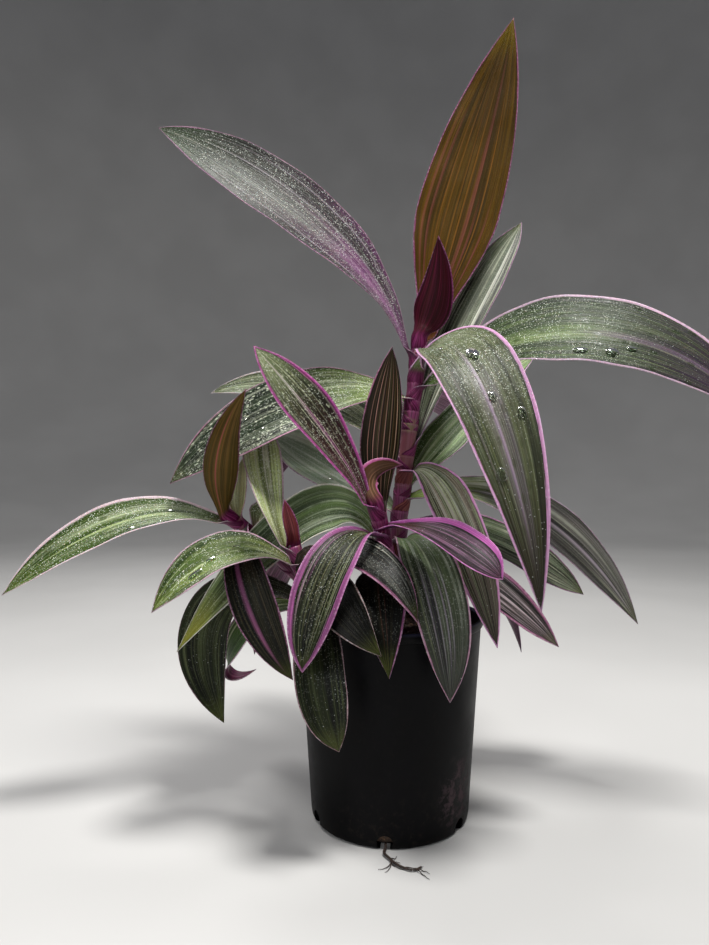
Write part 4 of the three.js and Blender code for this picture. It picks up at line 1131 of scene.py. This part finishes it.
def build_pot():
    pot = mesh_object("pot_shell", *turned(pot_profile(), POT_SIDES))
    drains = Heap()
    for k in range(DRAIN_COUNT):
        turn = math.radians(DRAIN_TURN + 360 / DRAIN_COUNT * k)
        out = np.array([math.cos(turn), math.sin(turn), 0.0])
        ends = [out * (POT_BASE_RADIUS + reach) + (0, 0, DRAIN_HEIGHT)
                for reach in (-DRAIN_REACH, DRAIN_REACH)]
        drains.put(*tube(ends, DRAIN_RADIUS, 24))
    cutter = drains.object("cutter")
    cut = pot.modifiers.new("drains", "BOOLEAN")
    cut.operation = "DIFFERENCE"
    cut.solver = "EXACT"
    cut.object = cutter
    apply_modifiers(pot)
    bpy.data.objects.remove(cutter)
    pot.data.shade_smooth()
    pot.data.set_sharp_from_angle(angle=math.radians(SHARP_DEGREES))
    add_piece(pot, pot_paint(), ["pot"])


SOIL_SIDES = 110
SOIL_RINGS = 50
SOIL_WAVES = 26
# Bark and grit on the soil: count, size, dark colour and light colour.
CRUMBS = {
    "soil_bark": (170, 1.3, (40, 28, 20), (96, 68, 46)),
    "soil_grit": (60, 0.9, (150, 144, 132), (206, 202, 190)),
}


def soil_height(x, y):
    swell = 0.6 * np.sin(x * 0.11 + 0.8) * np.cos(y * 0.09)
    lumps = np.sin(x * 0.43 + y * 0.21) * np.sin(y * 0.37 - x * 0.16 + 1.7)
    return SOIL_TOP + 1.1 * (swell + lumps)


def build_soil():
    draw = np.random.default_rng(5)
    top = pot_radius(SOIL_TOP) - POT_WALL - 0.2
    radii = np.linspace(0, top, SOIL_RINGS)[1:]
    profile = [(0, POT_FLOOR + 0.3), (POT_BASE_RADIUS - 4, POT_FLOOR + 0.3),
               (POT_BASE_RADIUS - POT_WALL - 0.6, 4.0), *((r, SOIL_TOP) for r in radii[::-1]), (0, SOIL_TOP)]
    points, faces = turned(profile, SOIL_SIDES)
    points = np.asarray(points, float)
    raised = points[:, 2] > SOIL_TOP - 1
    x, y = points[raised, 0], points[raised, 1]
    height = soil_height(x, y)
    for _ in range(SOIL_WAVES):
        heading, phase = draw.uniform(0, FULL_TURN, 2)
        pitch = draw.uniform(0.5, 1.9)
        height += 0.22 / pitch * np.sin((x * math.cos(heading) + y * math.sin(heading)) * pitch + phase)
    points[raised, 2] = height
    add_piece(mesh_object("soil_body", points, faces), soil_paint(), ["soil"])
    build_crumbs(draw, top - 2.5)


def pebble(draw, size):
    """A rough rounded lump, as points and faces."""
    points, faces = ball(2)
    points = points * size * draw.uniform(0.65, 1.2, 3)
    for _ in range(3):
        way = unit(draw.normal(size=3))
        reach = points @ way
        points = points - way * np.maximum(reach - size * draw.uniform(0.45, 0.8), 0)[:, None] * 0.8
    spin = np.linalg.qr(draw.normal(size=(3, 3)))[0]
    if np.linalg.det(spin) < 0:
        spin[0] = -spin[0]
    return points @ spin, faces


def build_crumbs(draw, reach):
    for name, (count, size, dark, light) in CRUMBS.items():
        heap = Heap()
        for _ in range(count):
            turn, far = draw.uniform(0, FULL_TURN), reach * math.sqrt(draw.uniform(0, 1))
            x, y = far * math.cos(turn), far * math.sin(turn)
            grain = size * draw.uniform(0.6, 1.4)
            points, faces = pebble(draw, grain)
            heap.put(points + (x, y, soil_height(x, y) + grain * 0.15), faces)
        add_piece(heap.object(name), crumb_paint(f"{name}_skin", dark, light))


ROOT_STEPS = 60
ROOT_SMOOTHINGS = 14
ROOT_LOWEST = 0.75
ROOT_RADII = (0.7, 0.4)
STRANDS = 9
STRAND_STEPS = 20
STRAND_LOWEST = 0.3
STRAND_RADII = (0.28, 0.1)


def build_root():
    """The root on the floor, with the side strands that leave it."""
    draw = np.random.default_rng(12)
    heap = Heap()
    key = np.asarray(ROOT_PATH, float)
    t = np.linspace(0, len(key) - 1, ROOT_STEPS)
    main = np.stack([np.interp(t, range(len(key)), key[:, c]) for c in range(3)], -1)
    for _ in range(ROOT_SMOOTHINGS):
        main[1:-1] = (main[:-2] + main[1:-1] * 2 + main[2:]) / 4
    main[:, 0] += 0.35 * np.sin(np.linspace(0, 17, ROOT_STEPS))
    main[:, 2] = np.maximum(main[:, 2], ROOT_LOWEST)
    heap.put(*tube(main, np.linspace(*ROOT_RADII, ROOT_STEPS), 8))
    for _ in range(STRANDS):
        at = draw.integers(14, 56)
        heading = draw.uniform(-0.4, 2.2) - math.pi / 2
        length = draw.uniform(5, 13)
        u = np.linspace(0, 1, STRAND_STEPS)
        bend = heading + draw.uniform(-1.3, 1.3) * u
        step = np.stack([np.cos(bend), np.sin(bend)], -1) * length / STRAND_STEPS
        strand = np.zeros((STRAND_STEPS, 3))
        strand[:, :2] = main[at, :2] + np.cumsum(step, axis=0)
        lift = 0.25 * np.abs(np.sin(u * draw.uniform(3, 8)))
        strand[:, 2] = mixed(main[at, 2], STRAND_LOWEST, smooth(u * 2)) + lift
        heap.put(*tube(strand, np.linspace(*STRAND_RADII, STRAND_STEPS), 6))
    add_piece(heap.object("root_wisp"), root_paint(), ["root"])


# Water: fine dew, single drops, and the hairs that hold dew along the margins.

# How many points of dew lie on a leaf.
DEW = {"tall_upper_left": 420, "tall_hanging_right": 420, "tall_arching_right": 620, "tall_left": 420,
       "far_long": 300, "left_reaching": 160, "tall_clasping": 80, "tall_centre": 80,
       "front_hanging": 90, "left_over_pot": 70, "left_drooping": 80, "tall_back_left": 160,
       "tall_back_right": 200, "tall_far_left": 140, "front_folded": 30, "tall_spear": 40}

# Each drop's leaf, its places along (0..1) and across (-1..1), its length and its width.
DROPS = (
    ("tall_hanging_right", 0.39, -0.15, 8.5, 6.0), ("tall_hanging_right", 0.46, -0.02, 1.8, 1.5),
    ("tall_hanging_right", 0.55, -0.05, 5.6, 4.2), ("tall_hanging_right", 0.61, -0.6, 6.0, 4.2),
    ("tall_hanging_right", 0.73, 0.45, 6.6, 5.2), ("tall_hanging_right", 0.3, 0.35, 2.2, 1.7),
    ("tall_arching_right", 0.49, 0.68, 7.4, 4.0), ("tall_arching_right", 0.58, 0.64, 6.6, 5.0),
    ("tall_arching_right", 0.63, 0.42, 5.4, 3.0), ("left_reaching", 0.46, 0.1, 4.2, 1.8),
    ("left_reaching", 0.63, -0.15, 5.2, 2.4), ("left_reaching", 0.74, -0.4, 8.0, 3.0),
    ("far_long", 0.49, -0.7, 4.6, 1.8), ("far_long", 0.3, 0.1, 3.2, 1.4),
    ("tall_left", 0.71, 0.22, 3.4, 2.2), ("tall_left", 0.67, -0.38, 2.4, 1.6),
    ("tall_left", 0.45, 0.2, 3.0, 1.6), ("tall_centre", 0.66, 0.55, 1.8, 1.5),
    ("tall_centre", 0.72, -0.85, 1.6, 1.2), ("front_hanging", 0.24, 0.22, 1.8, 1.4),
    ("front_hanging", 0.61, -0.03, 1.6, 1.4), ("left_crossing", 0.58, -0.66, 1.8, 1.6),
    ("tall_behind", 0.46, -0.4, 2.4, 1.6),
)

# Radii of the dew, its half height against its radius, and a drop's half height against its width.
DEW_LEAST = 0.1
DEW_SPREAD = 0.3
DEW_FLATNESS = 0.65
DROP_FLATNESS = 0.2


def build_water(sheets):
    draw = np.random.default_rng(31)
    dew_ball, dew_faces = ball(1)
    dew = Heap()
    for name, count in DEW.items():
        for _ in range(count):
            t, s = draw.beta(1.3, 1.6), draw.uniform(-0.97, 0.97)
            point, normal, way, thick = on_sheet(sheets[name], t, s)
            size = DEW_LEAST + DEW_SPREAD * draw.beta(1.2, 4)
            side = np.cross(way, normal)
            axes = np.stack([way * size, side * size, normal * size * DEW_FLATNESS])
            dew.put(dew_ball @ axes + point + normal * (thick + size * 0.3), dew_faces)
    drop_ball, drop_faces = ball(4)
    drops = Heap()
    for name, t, s, length, width in DROPS:
        point, normal, way, thick = on_sheet(sheets[name], t, s)
        side = np.cross(way, normal)
        axes = np.stack([way * length / 2, side * width / 2, normal * width * DROP_FLATNESS])
        drops.put(drop_ball @ axes + point + normal * (thick + width * 0.1), drop_faces)
    add_piece(dew.object("dew"), water_paint("dew_water", 0.55))
    add_piece(drops.object("water_drops"), water_paint("drop_water", 1.0))


HAIR_SIDES = 3
HAIR_ACROSS = 0.999
HAIRS_PER_MM = 0.5
HAIR_LENGTH = (0.35, 0.9)
HAIR_RADII = (0.05, 0.04, 0.012)


def build_hairs(sheets):
    """Short hairs along the leaves' margins, apart from any that would leave the solids' box."""
    draw = np.random.default_rng(44)
    low, high = cad_corners
    heap = Heap()
    for sheet in sheets.values():
        for _ in range(int(sheet["length"] * HAIRS_PER_MM)):
            t = draw.beta(1.0, 2.6)
            point, normal, way, _ = on_sheet(sheet, t, HAIR_ACROSS * draw.choice((-1, 1)))
            out = np.cross(normal, way)
            middle, *_ = on_sheet(sheet, t, 0.0)
            out = out if ((point - middle) * out).sum() > 0 else -out
            lean = unit(out + way * draw.uniform(-0.3, 0.7) + normal * draw.uniform(-0.5, 0.5))
            long = draw.uniform(*HAIR_LENGTH)
            path = np.stack([point - lean * 0.1, point + lean * long * 0.5, point + lean * long + way * 0.1])
            if (path[-1] >= low).all() and (path[-1] <= high).all():
                heap.put(*tube(path, HAIR_RADII, HAIR_SIDES))
    add_piece(heap.object("margin_hairs"), hair_paint())


# Stage.

# The floor is a wide round sheet, flat under the object and bent up into a wall far from it.
BOWL_FLAT = 1500
BOWL_BEND = 1300
BOWL_TOP = 2600
BOWL_SIDES = 96
BOWL_RINGS = 17
SKY = (92, 94, 100)

# Each light's place, what it is turned to, its diameter, its power in watts and its colour.
LIGHTS = {
    "key": ((170, -260, 1200), (0, 0, 200), 260, 16, (1.0, 0.99, 0.97)),
    "fill": ((-500, -1150, 550), (0, 0, 180), 900, 4.5, (0.95, 0.97, 1.0)),
    "rim": ((-420, 430, 1150), (0, 0, 220), 400, 7, (1.0, 0.99, 0.98)),
}


def build_floor():
    rise = np.linspace(0, math.pi / 2, BOWL_RINGS)
    reach = np.concatenate([[BOWL_FLAT * 0.4], BOWL_FLAT + BOWL_BEND * np.sin(rise), [BOWL_FLAT + BOWL_BEND]])
    height = np.concatenate([[0], BOWL_BEND * (1 - np.cos(rise)), [BOWL_TOP]])
    x, y = circle(BOWL_SIDES)
    rings = [np.stack([r * x, r * y, np.full(BOWL_SIDES, h)], -1) for r, h in zip(reach, height)]
    faces = [tuple(range(BOWL_SIDES))]
    for i in range(len(rings) - 1):
        for j in range(BOWL_SIDES):
            a, b = i * BOWL_SIDES + j, i * BOWL_SIDES + (j + 1) % BOWL_SIDES
            faces.append((a, a + BOWL_SIDES, b + BOWL_SIDES, b))
    ground = mesh_object("floor", np.concatenate(rings), faces)
    ground.data.materials.append(floor_paint())


def build_world():
    world = bpy.data.worlds.new("studio")
    world.use_nodes = True
    sky = world.node_tree.nodes["Background"]
    sky.inputs[0].default_value = (*tone(SKY), 1.0)
    sky.inputs[1].default_value = 1.0
    bpy.context.scene.world = world
    bpy.context.scene.view_settings.view_transform = "Standard"


def build_lights():
    for name, (place, target, size, power, colour) in LIGHTS.items():
        light = bpy.data.lights.new(name, "AREA")
        light.shape = "DISK"
        light.size = size * MM
        light.energy = power
        light.color = colour
        obj = bpy.data.objects.new(name, light)
        bpy.context.scene.collection.objects.link(obj)
        obj.location = [v * MM for v in place]
        way = np.asarray(target, float) - np.asarray(place, float)
        obj.rotation_euler = Vector(way).to_track_quat("-Z", "Y").to_euler()


def build_camera():
    data = bpy.data.cameras.new("camera")
    data.sensor_width = SENSOR_MM
    data.sensor_fit = "AUTO"
    data.lens = FOCAL_PX / FRAME_HEIGHT_PX * SENSOR_MM
    data.clip_start = 0.01
    camera = bpy.data.objects.new("camera", data)
    camera.location = [v * MM for v in CAMERA_PLACE]
    camera.rotation_euler = (math.pi / 2, 0, 0)
    bpy.context.scene.collection.objects.link(camera)
    bpy.context.scene.camera = camera


def plain(box):
    return [[float(v) for v in corner] for corner in box]


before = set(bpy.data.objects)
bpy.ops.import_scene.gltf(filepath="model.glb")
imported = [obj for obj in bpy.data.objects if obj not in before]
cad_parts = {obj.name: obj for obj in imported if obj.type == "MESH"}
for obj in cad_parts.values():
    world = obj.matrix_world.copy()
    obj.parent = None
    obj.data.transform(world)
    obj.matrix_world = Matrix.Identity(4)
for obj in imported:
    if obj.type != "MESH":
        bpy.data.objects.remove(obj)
cad_box = plain(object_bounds())
cad_corners = [np.asarray(corner) / MM for corner in cad_box]
build_camera()
build_floor()
build_world()
build_lights()
build_pot()
build_soil()
build_root()
build_stems()
leaf_sheets = build_leaves()
build_water(leaf_sheets)
build_hairs(leaf_sheets)
